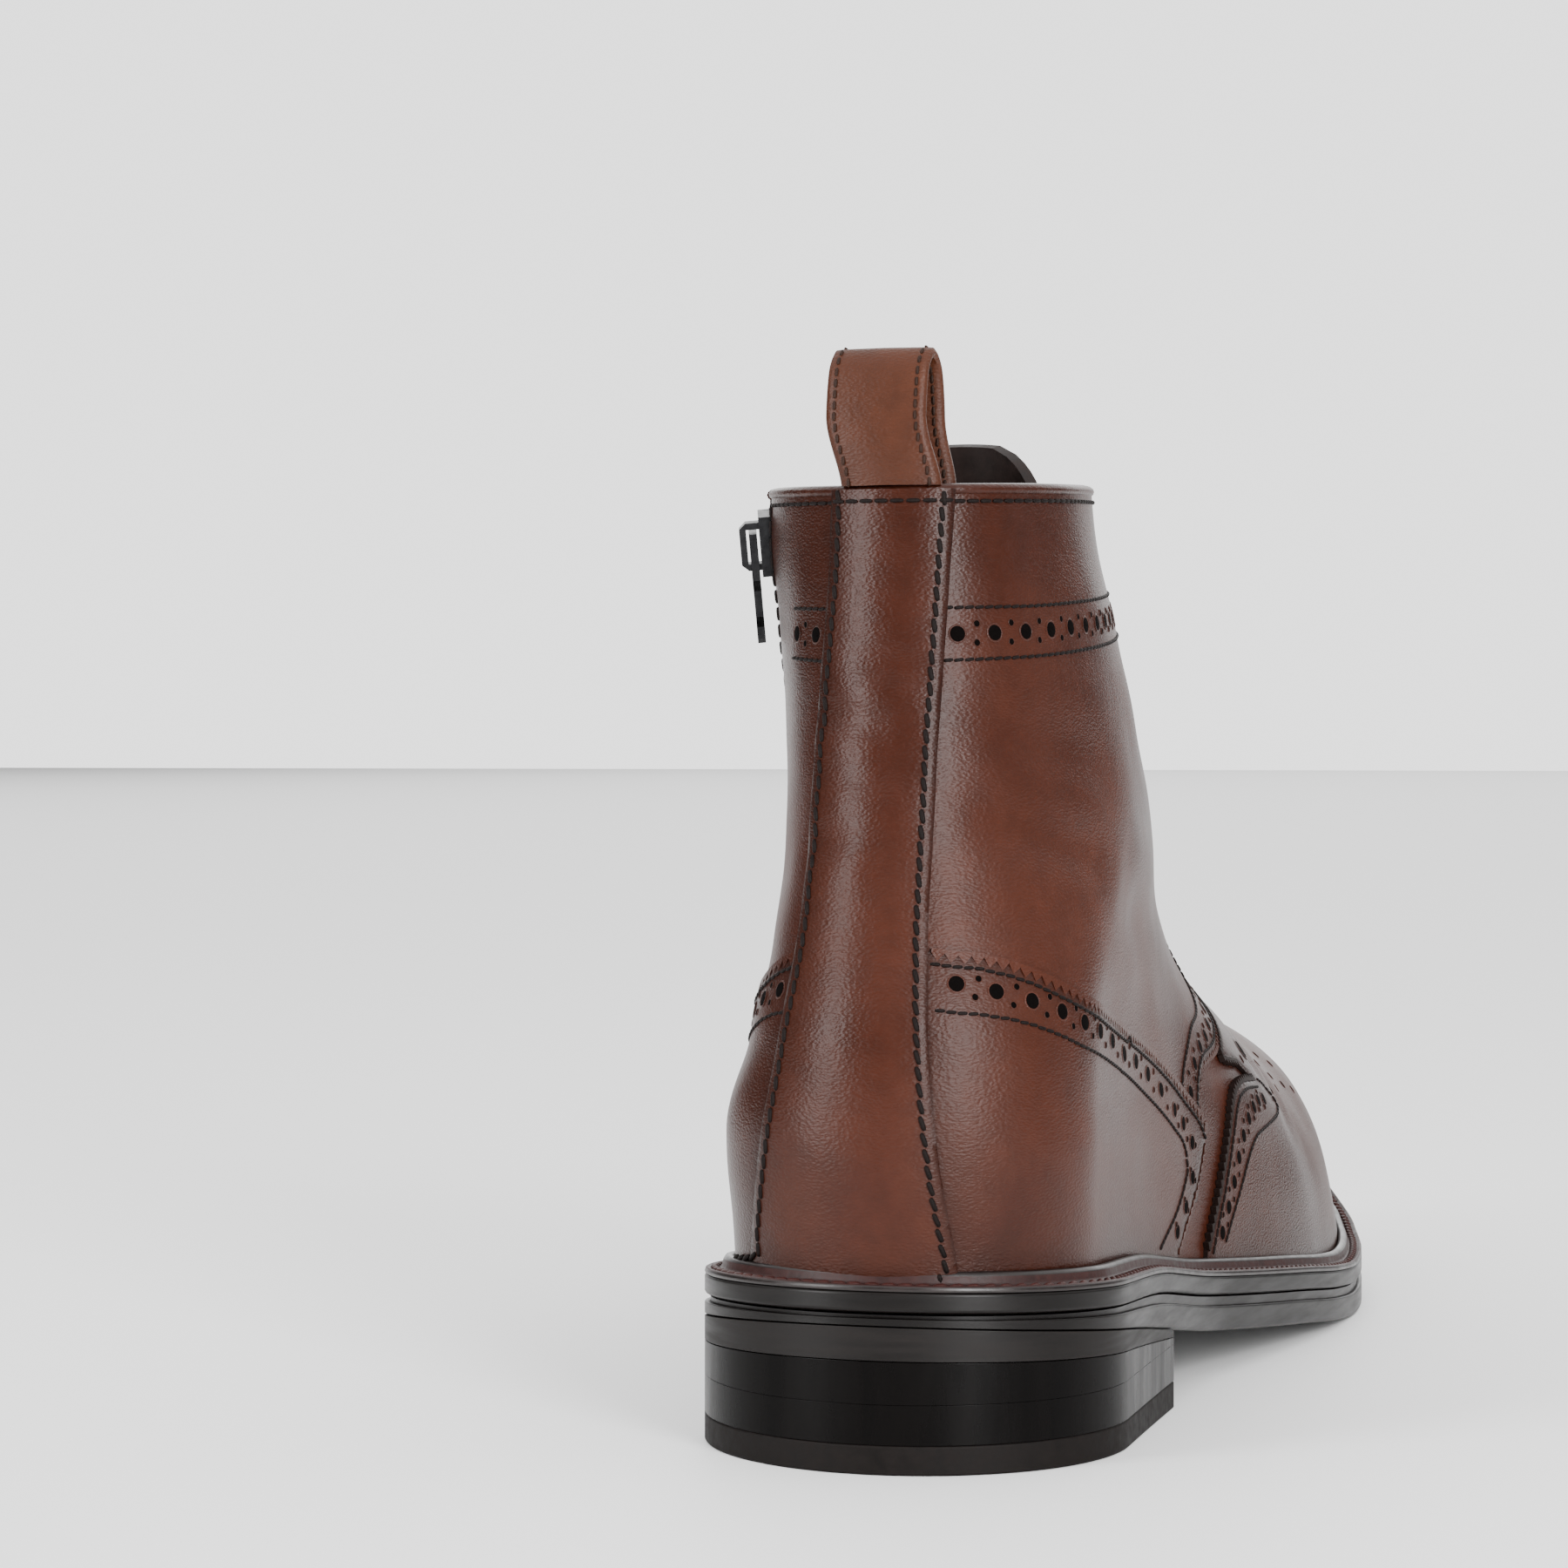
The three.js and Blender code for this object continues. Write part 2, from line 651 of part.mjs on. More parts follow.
// A round bar through points, with flat ends.
function bar(points, radius, sides) {
  const up = new THREE.Vector3(0, 0, 1);
  const ahead = new THREE.Vector3(0, 1, 0);
  const circles = points.map((point, i) => {
    const from = points[Math.max(0, i - 1)];
    const to = points[Math.min(points.length - 1, i + 1)];
    const direction = to.clone().sub(from).normalize();
    const helper = Math.abs(direction.z) < 0.9 ? up : ahead;
    const u = direction.clone().cross(helper).normalize();
    const v = u.clone().cross(direction);
    const circle = [];
    for (let j = 0; j < sides; j += 1) {
      const angle = (2 * Math.PI * j) / sides;
      circle.push(point.clone()
        .addScaledVector(u, radius * Math.cos(angle))
        .addScaledVector(v, radius * Math.sin(angle)));
    }
    return circle;
  });
  return toSolid(loft(circles));
}

// The lace's rows lie beside the throat.
const overlayTop = fit + overlayThickness;
const laceLift = overlayTop + 2 * fit + laceRadius;
const rowZ = (row) => lerp(laceBottom, laceTop, row / (laceRows - 1));
const rowAcross = (row) => throatHalf(rowZ(row)) + laceInset;

function makeUpper() {
  const outside = skinVolume(0, 0);
  const inside = skinVolume(-wall, runOn);
  return toGeometry(outside.subtract(inside).subtract(throatCutter(0)).subtract(innerSide(slotBand(0))));
}

// Overlays lie on the upper, clear of the welt ring below them.
const fromShares = (rows) => rows.map((row) => [row.along * soleLength, row.up * collarHeight]);
const shifted = (outline, dy, dz) => outline.map(([y, z]) => [y + dy, z + dz]);

function overlaySheet() {
  const belowWelt = toSolid(makePlate([
    { inset: -weltWidth, height: (y) => midsoleTop(y) + weltRise + fit },
    { inset: -weltWidth, height: () => -heelHeight },
  ]));
  return skinVolume(overlayTop, 0).subtract(skinVolume(fit, runOn * 2)).subtract(skinVolume(fit, 0)).subtract(belowWelt);
}

const sheet = overlaySheet();

function strapPrism(grow) {
  const left = strapRows.map((row) => [ankleHalf * row.left - grow, collarHeight * row.at]);
  const right = strapRows.map((row) => [ankleHalf * row.right + grow, collarHeight * row.at]);
  return backPrism([...left, ...right.reverse()], -heelWidth / 2, ankleHalf * 1.8);
}

function counterPiece(side) {
  const half = sidePrism(fromShares(counterEdge), side > 0 ? 0 : -outerReach, side > 0 ? outerReach : 0);
  const piece = sheet.intersect(half).subtract(strapPrism(seamGap));
  return side > 0 ? piece : piece.subtract(innerSide(slotBand(fit)));
}

// The quarter's front: a strip beside the throat that sweeps down and back to the counter.
function facingOutline() {
  const beside = [];
  for (let z = collarFront + 8; z > laceBottom; z -= 12) beside.push([ridgeFront(z) - facingWidth, z]);
  const front = fromShares(quarterFront);
  return [...beside, ...fromShares(quarterBack), ...front, [front.at(-1)[0], collarFront + 8]];
}

function facingPrism(side, grow) {
  const edge = throatBottomHalf - grow;
  const from = side > 0 ? edge - ridgeSwing : -outerReach;
  const to = side > 0 ? outerReach : -edge - ridgeSwing;
  return sidePrism(shifted(facingOutline(), grow, -grow), from, to);
}

function facingPiece(side) {
  const counter = bothSides(shifted(fromShares(counterEdge), seamGap, seamGap));
  return sheet.intersect(facingPrism(side, 0)).subtract(throatCutter(seamGap)).subtract(counter);
}

function wingPiece() {
  return sheet.intersect(bothSides(fromShares(wingEdge)))
    .subtract(facingPrism(1, seamGap))
    .subtract(facingPrism(-1, seamGap));
}

// The strap's leather folded over the collar into a loop.
function makeLoop() {
  const sections = loopRows.map((row, i) => {
    const before = loopRows[Math.max(0, i - 1)];
    const after = loopRows[Math.min(loopRows.length - 1, i + 1)];
    const run = new THREE.Vector2(after.forward - before.forward, after.up - before.up).normalize();
    const ring = [];
    const corners = [[-1, 0], [0, 0], [1, 0], [1, 1], [0, 1], [-1, 1]];
    for (const [across, out] of corners) {
      const x = (across * loopWidth) / 2;
      const off = (0.5 - out) * loopThickness;
      const bend = (x * x) / (2 * row.round);
      ring.push(new THREE.Vector3(
        x + loopShift,
        backLine(collarHeight) + row.forward + bend + run.y * off,
        collarHeight + row.up - run.x * off,
      ));
    }
    return ring;
  });
  return loft(sections);
}

// Zip: a tape behind the slot, the closed teeth, the slider near the collar and its pull.
const layer = (from, to) => skinVolume(-from, 0).subtract(skinVolume(-to, runOn));

function makeTape() {
  const band = zipBand(tapeHalf, zipBottomZ - runOn, collarHeight + 1);
  return toGeometry(layer(wall + fit, wall + fit + tapeThickness).intersect(innerSide(band)));
}

function makeTeeth() {
  const band = zipBand(teethHalf, zipBottomZ + 1, collarHeight);
  return toGeometry(layer(teethDepth, wall).intersect(innerSide(band)));
}

// The slider's own frame: across the zip, up along it and out of the leather.
function sliderFrame() {
  const at = (dy, dz) => skinPoint(zipY(sliderZ) + dy, sliderZ + dz, -1);
  const place = at(0, 0);
  const up = skinPoint(zipY(sliderZ + 1), sliderZ + 1, -1).sub(skinPoint(zipY(sliderZ - 1), sliderZ - 1, -1)).normalize();
  const along = at(1, 0).sub(at(-1, 0)).normalize();
  const out = up.clone().cross(along).normalize();
  const across = up.clone().cross(out).normalize();
  return new THREE.Matrix4().makeBasis(across, up, out).setPosition(place);
}

function plate(points, holes, from, to) {
  const shape = new THREE.Shape(points.map(([a, b]) => new THREE.Vector2(a, b)));
  for (const hole of holes) shape.holes.push(new THREE.Path(hole.map(([a, b]) => new THREE.Vector2(a, b))));
  const solid = new THREE.ExtrudeGeometry(shape, { depth: to - from, bevelEnabled: false });
  solid.translate(0, 0, from);
  solid.deleteAttribute('normal');
  solid.deleteAttribute('uv');
  return solid;
}

function makeSlider() {
  const end = sliderLength / 2;
  const waist = sliderHalf * 0.78;
  const body = plate(
    [[-waist, -end], [waist, -end], [sliderHalf, end * 0.2], [sliderHalf, end], [-sliderHalf, end], [-sliderHalf, end * 0.2]],
    [], -sliderSunk, sliderProud);
  const opening = sliderProud + 2.2;
  const arch = plate([
    [-4.2, sliderProud - 0.2], [-3.1, sliderProud - 0.2], [-3.1, opening], [2.7, opening], [2.7, sliderProud - 0.2],
    [3.8, sliderProud - 0.2], [3.8, opening], [2.8, opening + archThickness], [-3.2, opening + archThickness],
    [-4.2, opening],
  ], [], -archHalf, archHalf);
  arch.applyMatrix4(new THREE.Matrix4().makeBasis(
    new THREE.Vector3(0, 1, 0), new THREE.Vector3(0, 0, 1), new THREE.Vector3(1, 0, 0)));
  const joined = toSolid(mergeVertices(body, 1e-4)).add(toSolid(mergeVertices(arch, 1e-4)));
  return toGeometry(joined).applyMatrix4(sliderFrame());
}

function makePull() {
  const top = pullAxisUp + 0.6;
  const low = top - pullLength;
  const slot = archHalf + fit;
  const tab = plate(
    [[-pullHalf, top - 0.8], [-pullHalf, -5.6], [-pullHalf * 0.7, -7.5], [-pullHalf * 0.7, low + 4.5],
      [-pullHalf, low + 3], [-pullHalf, low + 1], [-pullHalf * 0.6, low], [pullHalf * 0.6, low],
      [pullHalf, low + 1], [pullHalf, low + 3], [pullHalf * 0.7, low + 4.5], [pullHalf * 0.7, -7.5],
      [pullHalf, -5.6], [pullHalf, top - 0.8], [pullHalf - 0.8, top], [0.8 - pullHalf, top]],
    [[[-slot, pullAxisUp - 0.6], [slot, pullAxisUp - 0.6], [slot, -4.6], [-slot, -4.6]]],
    pullAxisOut - pullThickness / 2, pullAxisOut + pullThickness / 2);
  return mergeVertices(tab, 1e-4).applyMatrix4(sliderFrame());
}

// The lace crosses the throat from row to row, with a bar at the bottom and its ends at the top eyelets.
function makeLace() {
  const sides = 4;
  const laceSteps = 6;
  const strand = (rowA, sideA, rowB, sideB) => {
    const points = [];
    for (let i = 0; i <= laceSteps; i += 1) {
      const t = i / laceSteps;
      const across = lerp(sideA * rowAcross(rowA), sideB * rowAcross(rowB), t);
      const lift = laceLift - laceDip * Math.sin(Math.PI * t) ** 4;
      points.push(overRidge(lerp(rowZ(rowA), rowZ(rowB), t)).under(across, -lift));
    }
    return bar(points, laceRadius, sides);
  };
  let lace = strand(0, -1, 0, 1);
  for (let row = 0; row < laceRows - 1; row += 1) {
    lace = lace.add(strand(row, -1, row + 1, 1)).add(strand(row, 1, row + 1, -1));
  }
  return toGeometry(lace);
}

function makeTongue() {
  const top = collarFront + tongueRise;
  const bottom = throatBottom - 8;
  const sections = [];
  const count = 13;
  const across = 6;
  for (let i = 0; i <= count; i += 1) {
    const z = lerp(bottom, top, Math.sin((Math.PI / 2) * (i / count)));
    const round = Math.max(0, (z - (top - tongueRound)) / tongueRound);
    const straight = lerp(tongueHalf, tongueTopHalf, smooth(z, throatBottom, top));
    const half = straight - tongueRound * (1 - Math.sqrt(1 - Math.min(0.999, round) ** 2));
    const section = overRidge(z);
    const near = [];
    const far = [];
    for (let j = 0; j <= across; j += 1) {
      const x = half * Math.sin((Math.PI / 2) * ((2 * j) / across - 1));
      near.push(section.under(x, wall + 3 * fit));
      far.push(section.under(x, wall + 3 * fit + tongueThickness));
    }
    sections.push([...near, ...far.reverse()]);
  }
  const skin = skinVolume(0, 0).subtract(skinVolume(-wall - fit, runOn));
  return toGeometry(toSolid(loft(sections)).subtract(skin));
}

// Leather and rubber
const leather = new THREE.MeshStandardMaterial({ color: 0x5a2f25, roughness: 0.42, metalness: 0 });
const sole = new THREE.MeshStandardMaterial({ color: 0x2a2524, roughness: 0.5, metalness: 0 });
const lining = new THREE.MeshStandardMaterial({ color: 0x2b2320, roughness: 0.8, metalness: 0 });
const metal = new THREE.MeshStandardMaterial({ color: 0x1c1c1e, roughness: 0.35, metalness: 1 });
const cloth = new THREE.MeshStandardMaterial({ color: 0x141212, roughness: 0.9, metalness: 0 });

// Points of the sole's outline from the back, along the outer side, to the front and back along the inner side.
function outlineLoop(inset, end) {
  const front = end ?? soleLength - inset;
  const turn = end === undefined ? Math.PI : Math.PI / 2;
  const reach = end === undefined ? 2 : 1;
  const outer = [];
  const inner = [];
  for (let i = 0; i <= outlineSteps; i += 1) {
    const y = inset + (front - inset) * ((1 - Math.cos((turn * i) / outlineSteps)) / reach);
    outer.push({ x: centreline(y) + outlineHalf(y, inset, 1), y });
    inner.push({ x: centreline(y) - outlineHalf(y, inset, -1), y });
  }
  return { outer, inner };
}

// A plate under the foot: its side steps through levels from the top down, each with an inset and a height.
function makePlate(levels, end) {
  const positions = [];
  const index = [];
  const count = outlineSteps + 1;
  for (const level of levels) {
    const loop = outlineLoop(level.inset, end);
    for (const list of [loop.outer, loop.inner]) {
      for (const point of list) positions.push(point.x, point.y, level.height(point.y));
    }
  }
  const outerAt = (l, i) => l * count * 2 + i;
  const innerAt = (l, i) => l * count * 2 + count + i;
  const quad = (a, b, c, d) => index.push(a, b, c, a, c, d);
  const last = levels.length - 1;
  for (let i = 0; i < outlineSteps; i += 1) {
    quad(outerAt(0, i), outerAt(0, i + 1), innerAt(0, i + 1), innerAt(0, i));
    quad(outerAt(last, i + 1), outerAt(last, i), innerAt(last, i), innerAt(last, i + 1));
    for (let l = 0; l < last; l += 1) {
      quad(outerAt(l, i), outerAt(l + 1, i), outerAt(l + 1, i + 1), outerAt(l, i + 1));
      quad(innerAt(l, i + 1), innerAt(l + 1, i + 1), innerAt(l + 1, i), innerAt(l, i));
    }
  }
  for (let l = 0; l < last; l += 1) {
    quad(outerAt(l, outlineSteps), outerAt(l + 1, outlineSteps), innerAt(l + 1, outlineSteps), innerAt(l, outlineSteps));
  }
  return weld(positions, index);
}

const outsole = makePlate([
  { inset: grooveDepth, height: outsoleTop },
  { inset: grooveDepth, height: (y) => outsoleTop(y) - grooveHeight * readColumn(bottomRows, 'thick', y / soleLength) },
  { inset: 0, height: (y) => outsoleTop(y) - grooveHeight * readColumn(bottomRows, 'thick', y / soleLength) },
  { inset: 0, height: soleBottom },
]);

const midsole = makePlate([
  { inset: 0, height: midsoleTop },
  { inset: 0, height: (y) => outsoleTop(y) + fit },
]);

// The insole fills the upper's inside at the feather line.
function makeInsole() {
  const slab = makePlate([
    { inset: weltWidth, height: (y) => midsoleTop(y) + insoleThickness },
    { inset: weltWidth, height: (y) => midsoleTop(y) + fit },
  ]);
  return toGeometry(toSolid(slab).intersect(skinVolume(-wall - 2 * fit, runOn)));
}

// The welt: a ridge against the upper, a step down to a channel and a low lip at the edge.
function makeWelt() {
  const profile = [
    { inset: weltWidth - weltGap, up: fit },
    { inset: weltWidth - weltGap, up: weltRise },
    { inset: weltWidth * 0.64, up: weltRise },
    { inset: weltWidth * 0.54, up: weltRise * 0.42 },
    { inset: weltWidth * 0.1, up: weltRise * 0.3 },
    { inset: 0, up: fit },
  ];
  const loops = profile.map(({ inset, up }) => {
    const { outer, inner } = outlineLoop(inset);
    return [...outer, ...inner.slice(1, -1).reverse()].map(
      (point) => new THREE.Vector3(point.x, point.y, midsoleTop(point.y) + up));
  });
  const size = loops[0].length;
  const positions = loops.flat().flatMap((p) => [p.x, p.y, p.z]);
  const index = [];
  for (let l = 0; l < loops.length; l += 1) {
    const next = (l + 1) % loops.length;
    for (let i = 0; i < size; i += 1) {
      const a = l * size + i;
      const b = next * size + i;
      const c = next * size + ((i + 1) % size);
      const d = l * size + ((i + 1) % size);
      index.push(a, b, c, a, c, d);
    }
  }
  return toGeometry(toSolid(weld(positions, index)).subtract(skinVolume(fit, runOn)).subtract(skinVolume(fit, 0)));
}

const topPiece = makePlate([
  { inset: 0, height: () => topPieceThickness },
  { inset: 0, height: () => 0 },
], heelLength);

const liftTop = topPieceThickness + liftThickness;
const seatBottom = (y) => soleBottom(y) - fit - seatLiftThickness * (1 - (seatLiftTaper * y) / heelLength);
const lowerLift = makePlate([{ inset: 0, height: () => liftTop }, { inset: 0, height: () => topPieceThickness }], heelLength);
const upperLift = makePlate([{ inset: 0, height: (y) => seatBottom(y) - fit }, { inset: 0, height: () => liftTop }], heelLength);
const seatLift = makePlate([{ inset: 0, height: (y) => soleBottom(y) - fit }, { inset: 0, height: seatBottom }], heelLength);

const boot = new THREE.Group();

function addPiece(name, geometry, material) {
  const mesh = new THREE.Mesh(geometry, material);
  mesh.name = name;
  boot.add(mesh);
}

addPiece('outsole', outsole, sole);
addPiece('midsole', midsole, sole);
addPiece('heel_top_piece', topPiece, sole);
addPiece('heel_lift_lower', lowerLift, sole);
addPiece('heel_lift_upper', upperLift, sole);
addPiece('heel_seat_lift', seatLift, sole);
addPiece('welt', makeWelt(), sole);
addPiece('insole', makeInsole(), lining);
addPiece('upper', makeUpper(), leather);
addPiece('tongue', makeTongue(), leather);
addPiece('back_strap', toGeometry(sheet.intersect(strapPrism(0))), leather);
addPiece('pull_loop', makeLoop(), leather);
addPiece('counter_outer', toGeometry(counterPiece(1)), leather);
addPiece('counter_inner', toGeometry(counterPiece(-1)), leather);
addPiece('facing_outer', toGeometry(facingPiece(1)), leather);
addPiece('facing_inner', toGeometry(facingPiece(-1)), leather);
addPiece('wing_tip', toGeometry(wingPiece()), leather);
addPiece('zip_tape', makeTape(), cloth);
addPiece('zip_teeth', makeTeeth(), metal);
addPiece('zip_slider', makeSlider(), metal);
addPiece('zip_pull', makePull(), metal);
addPiece('lace', makeLace(), cloth);

// The origin is on the floor, under the middle of the boot.
const bounds = new THREE.Box3().setFromObject(boot);
const middle = bounds.getCenter(new THREE.Vector3());
boot.position.set(-middle.x, -middle.y, -bounds.min.z);

export default boot;
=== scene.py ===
import math
import bpy
import numpy as np
from mathutils import Matrix, Vector


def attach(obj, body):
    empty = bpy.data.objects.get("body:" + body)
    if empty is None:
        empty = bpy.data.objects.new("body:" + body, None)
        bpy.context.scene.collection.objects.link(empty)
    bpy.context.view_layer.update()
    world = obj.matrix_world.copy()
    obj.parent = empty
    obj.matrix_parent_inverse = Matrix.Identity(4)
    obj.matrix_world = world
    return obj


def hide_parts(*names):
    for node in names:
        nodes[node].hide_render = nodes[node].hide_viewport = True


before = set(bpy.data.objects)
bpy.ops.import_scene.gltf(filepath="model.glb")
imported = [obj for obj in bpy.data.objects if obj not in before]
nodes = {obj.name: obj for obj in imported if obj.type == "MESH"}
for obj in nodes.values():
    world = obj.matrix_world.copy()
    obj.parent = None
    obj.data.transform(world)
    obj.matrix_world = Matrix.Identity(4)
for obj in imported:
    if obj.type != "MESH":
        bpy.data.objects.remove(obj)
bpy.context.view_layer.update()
print("frame loaded")

# Sizes of the boot in millimetres, measured from the back of the heel. +Y to the toe, +X outer side, +Z up.
boot = {
    "soleLength": 305, "ballWidth": 106, "heelWidth": 68, "heelHeight": 22.5, "heelLength": 72,
    "toeSpring": 15, "toeLength": 70, "toePower": 2.2, "toeSwing": 5, "outsole": 5.9, "midsole": 3.6,
    "groove": 1.5, "grooveDepth": 0.9, "topPiece": 4.6, "lift": 6.1, "seatLift": 4.9, "seatTaper": 0.8,
    "weltWidth": 5, "weltRise": 3, "wall": 2.2, "collarHeight": 150, "collarTilt": 5, "ankleHalf": 24.5,
    "toeBoxLength": 28, "toeBoxPower": 2.4, "legPower": 2.1, "ridgeSwing": 6, "fit": 0.3,
    "throatBottom": 79, "throatBottomHalf": 4.5, "throatTopHalf": 9, "zipTopY": 48, "zipBottomY": 80,
    "zipBottomZ": 38, "zipSlot": 7.4,
}
shift = np.array([2.567, -152.5, 0.0])   # from the heel's back to the middle of the boot's box

outlineRows = {   # half widths of the sole, in shares of the ball's width
    "at": [0.0, 0.11, 0.23, 0.33, 0.41, 0.49, 0.57, 0.635, 0.705, 0.77, 0.885, 1.0],
    "outer": [0.32, 0.321, 0.325, 0.343, 0.387, 0.434, 0.47, 0.481, 0.469, 0.441, 0.384, 0.37],
    "inner": [0.32, 0.321, 0.306, 0.262, 0.25, 0.29, 0.395, 0.462, 0.497, 0.481, 0.396, 0.3],
}
bottomRows = {   # underside: shares of heel height, toe spring and outsole thickness
    "at": [0.0, 0.115, 0.23, 0.328, 0.41, 0.49, 0.57, 0.62, 0.71, 0.79, 0.885, 1.0],
    "heel": [1.0, 0.82, 0.595, 0.395, 0.27, 0.16, 0.045, 0.0, 0.0, 0.0, 0.0, 0.0],
    "toe": [0.0, 0.0, 0.0, 0.0, 0.0, 0.0, 0.0, 0.0, 0.0, 0.14, 0.5, 1.0],
    "thick": [0.29, 0.62, 0.98, 1.0, 1.0, 1.0, 1.0, 1.0, 1.0, 1.0, 1.0, 1.0],
}
ridgeRows = np.array([   # the ridge: shares of the sole's length and the collar's height
    (0.3, 1.6), (0.35, 1.25), (0.382, 1.04), (0.402, 0.927), (0.431, 0.808), (0.466, 0.702), (0.507, 0.609),
    (0.552, 0.53), (0.604, 0.467), (0.66, 0.423), (0.738, 0.394), (0.82, 0.365), (0.9, 0.33), (1.0, 0.28),
])
legRows = {
    "at": [0.0, 0.18, 0.33, 0.43, 0.53, 0.64, 0.75, 0.86, 1.0, 1.12],
    "back": [0.017, 0.015, 0.005, 0.0095, 0.023, 0.037, 0.048, 0.056, 0.062, 0.065],
    "outer": [1.13, 1.14, 1.19, 1.22, 1.25, 1.26, 1.23, 1.17, 1.06, 1.06],
    "inner": [1.14, 1.15, 1.17, 1.0, 0.93, 0.95, 1.0, 1.05, 1.12, 1.12],
    "depth": [1.18, 1.18, 1.2, 1.3, 1.55, 2.0, 2.1, 2.0, 1.9, 1.9],
    "atBack": [-0.06, -0.06, -0.06, -0.06, -0.06, -0.06, -0.04, -0.02, 0.0, 0.0],
    "atFront": [-0.1, -0.1, -0.1, -0.1, -0.1, -0.12, -0.22, -0.32, -0.4, -0.42],
}
rollRows = {
    "at": [0.3, 0.45, 0.6, 0.8, 1.0],
    "power": [2.6, 2.2, 2.1, 2.7, 2.8],
    "root": [2.0, 1.9, 1.9, 2.1, 2.1],
}
ringRows = {
    "at": [0.0, 0.08, 0.16, 0.25, 0.34, 0.47, 0.58, 0.68, 0.77, 0.86, 0.94, 1.0],
    "ridge": [0.0, 0.055, 0.118, 0.204, 0.322, 0.51, 0.69, 0.776, 0.812, 0.85, 0.93, 1.0],
    "base": [0.0, 0.006, 0.025, 0.08, 0.155, 0.262, 0.405, 0.571, 0.702, 0.781, 0.9, 1.0],
}


def readColumn(rows, column, at):   # smooth reading of a table, without overshoot
    xs, ys = np.array(rows["at"]), np.array(rows[column], float)
    at = np.clip(np.asarray(at, float), xs[0], xs[-1])
    slope = np.diff(ys) / np.diff(xs)
    before, after = slope[:-1], slope[1:]
    with np.errstate(divide="ignore", invalid="ignore"):
        inner = np.where(before * after <= 0, 0.0, 2 * before * after / (before + after))
    tangent = np.concatenate([slope[:1], inner, slope[-1:]])
    i = np.clip(np.searchsorted(xs, at, side="left") - 1, 0, len(xs) - 2)
    span = xs[i + 1] - xs[i]
    t = (at - xs[i]) / span
    w = 2 * t ** 3 - 3 * t ** 2 + 1
    return (w * ys[i] + (t ** 3 - 2 * t ** 2 + t) * span * tangent[i]
            + (1 - w) * ys[i + 1] + (t ** 3 - t ** 2) * span * tangent[i + 1])


def smooth(value, low, high):
    t = np.clip((np.asarray(value, float) - low) / (high - low), 0, 1)
    return t * t * (3 - 2 * t)


def lerp(a, b, t):
    return a + (b - a) * t


length, collar, ankle = boot["soleLength"], boot["collarHeight"], boot["ankleHalf"]


def centreline(y):
    return -boot["toeSwing"] * smooth(y, length * 0.45, length)


def soleBottom(y):
    return (boot["heelHeight"] * readColumn(bottomRows, "heel", y / length)
            + boot["toeSpring"] * readColumn(bottomRows, "toe", y / length))


def thickShare(y):
    return readColumn(bottomRows, "thick", y / length)


def outsoleTop(y):
    return soleBottom(y) + boot["outsole"] * thickShare(y)


def midsoleTop(y):
    return outsoleTop(y) + boot["midsole"]


def feather(y):
    return midsoleTop(y) + boot["fit"]


def outlineHalf(y, inset, side):
    y = np.asarray(y, float)
    rows = np.where(np.asarray(side) > 0, readColumn(outlineRows, "outer", y / length),
                    readColumn(outlineRows, "inner", y / length))
    half = boot["ballWidth"] * rows - inset
    heelCentre, toeCentre = boot["heelWidth"] / 2, length - boot["toeLength"]
    atHeel = np.clip((heelCentre - y) / (heelCentre - inset), 0, 1)
    atToe = np.clip((y - toeCentre) / (boot["toeLength"] - inset), 0, 1)
    power = boot["toePower"]
    return half * np.sqrt(1 - atHeel ** 2) * (1 - atToe ** power) ** (1 / power)


def ridgeLine():   # a centripetal spline through the ridge's rows
    points = ridgeRows * np.array([length, collar])
    count, result = len(points), []
    for step in range(241):
        place = (count - 1) * step / 240
        i = min(int(place), count - 2)
        w = place - i
        b, c = points[i], points[i + 1]
        a = points[i - 1] if i > 0 else 2 * b - c
        d = points[i + 2] if i + 2 < count else 2 * c - b
        d0, d1, d2 = (max(np.sum((m - n) ** 2) ** 0.25, 1e-4) for m, n in ((a, b), (b, c), (c, d)))
        t1 = ((b - a) / d0 - (c - a) / (d0 + d1) + (c - b) / d1) * d1
        t2 = ((c - b) / d1 - (d - b) / (d1 + d2) + (d - c) / d2) * d1
        square, cube = 3 * c - 3 * b - 2 * t1 - t2, 2 * b - 2 * c + t1 + t2
        result.append(b + t1 * w + square * w ** 2 + cube * w ** 3)
    return np.array(result)


ridge = ridgeLine()
upperTip = length - boot["weltWidth"]


def ridgeHeight(y):
    top = np.interp(y, ridge[:, 0], ridge[:, 1])
    share = np.clip((y - (upperTip - boot["toeBoxLength"])) / boot["toeBoxLength"], 0, 1)
    return lerp(feather(y), top, (1 - share ** boot["toeBoxPower"]) ** (1 / boot["toeBoxPower"]))


def ridgeFront(z):
    return np.interp(z, ridge[::-1, 1], ridge[::-1, 0])


def leg(column, z):
    return readColumn(legRows, column, np.asarray(z, float) / collar)


def backLine(z):
    return length * leg("back", z)


def legHalf(z, side):
    return ankle * np.where(np.asarray(side) > 0, leg("outer", z), leg("inner", z))


def legness(z):
    return smooth(z, collar * 0.27, collar * 0.6)


def riseAt(y, z):
    return np.clip((z - feather(y)) / np.maximum(0.01, ridgeHeight(y) - feather(y)), 0, 1)


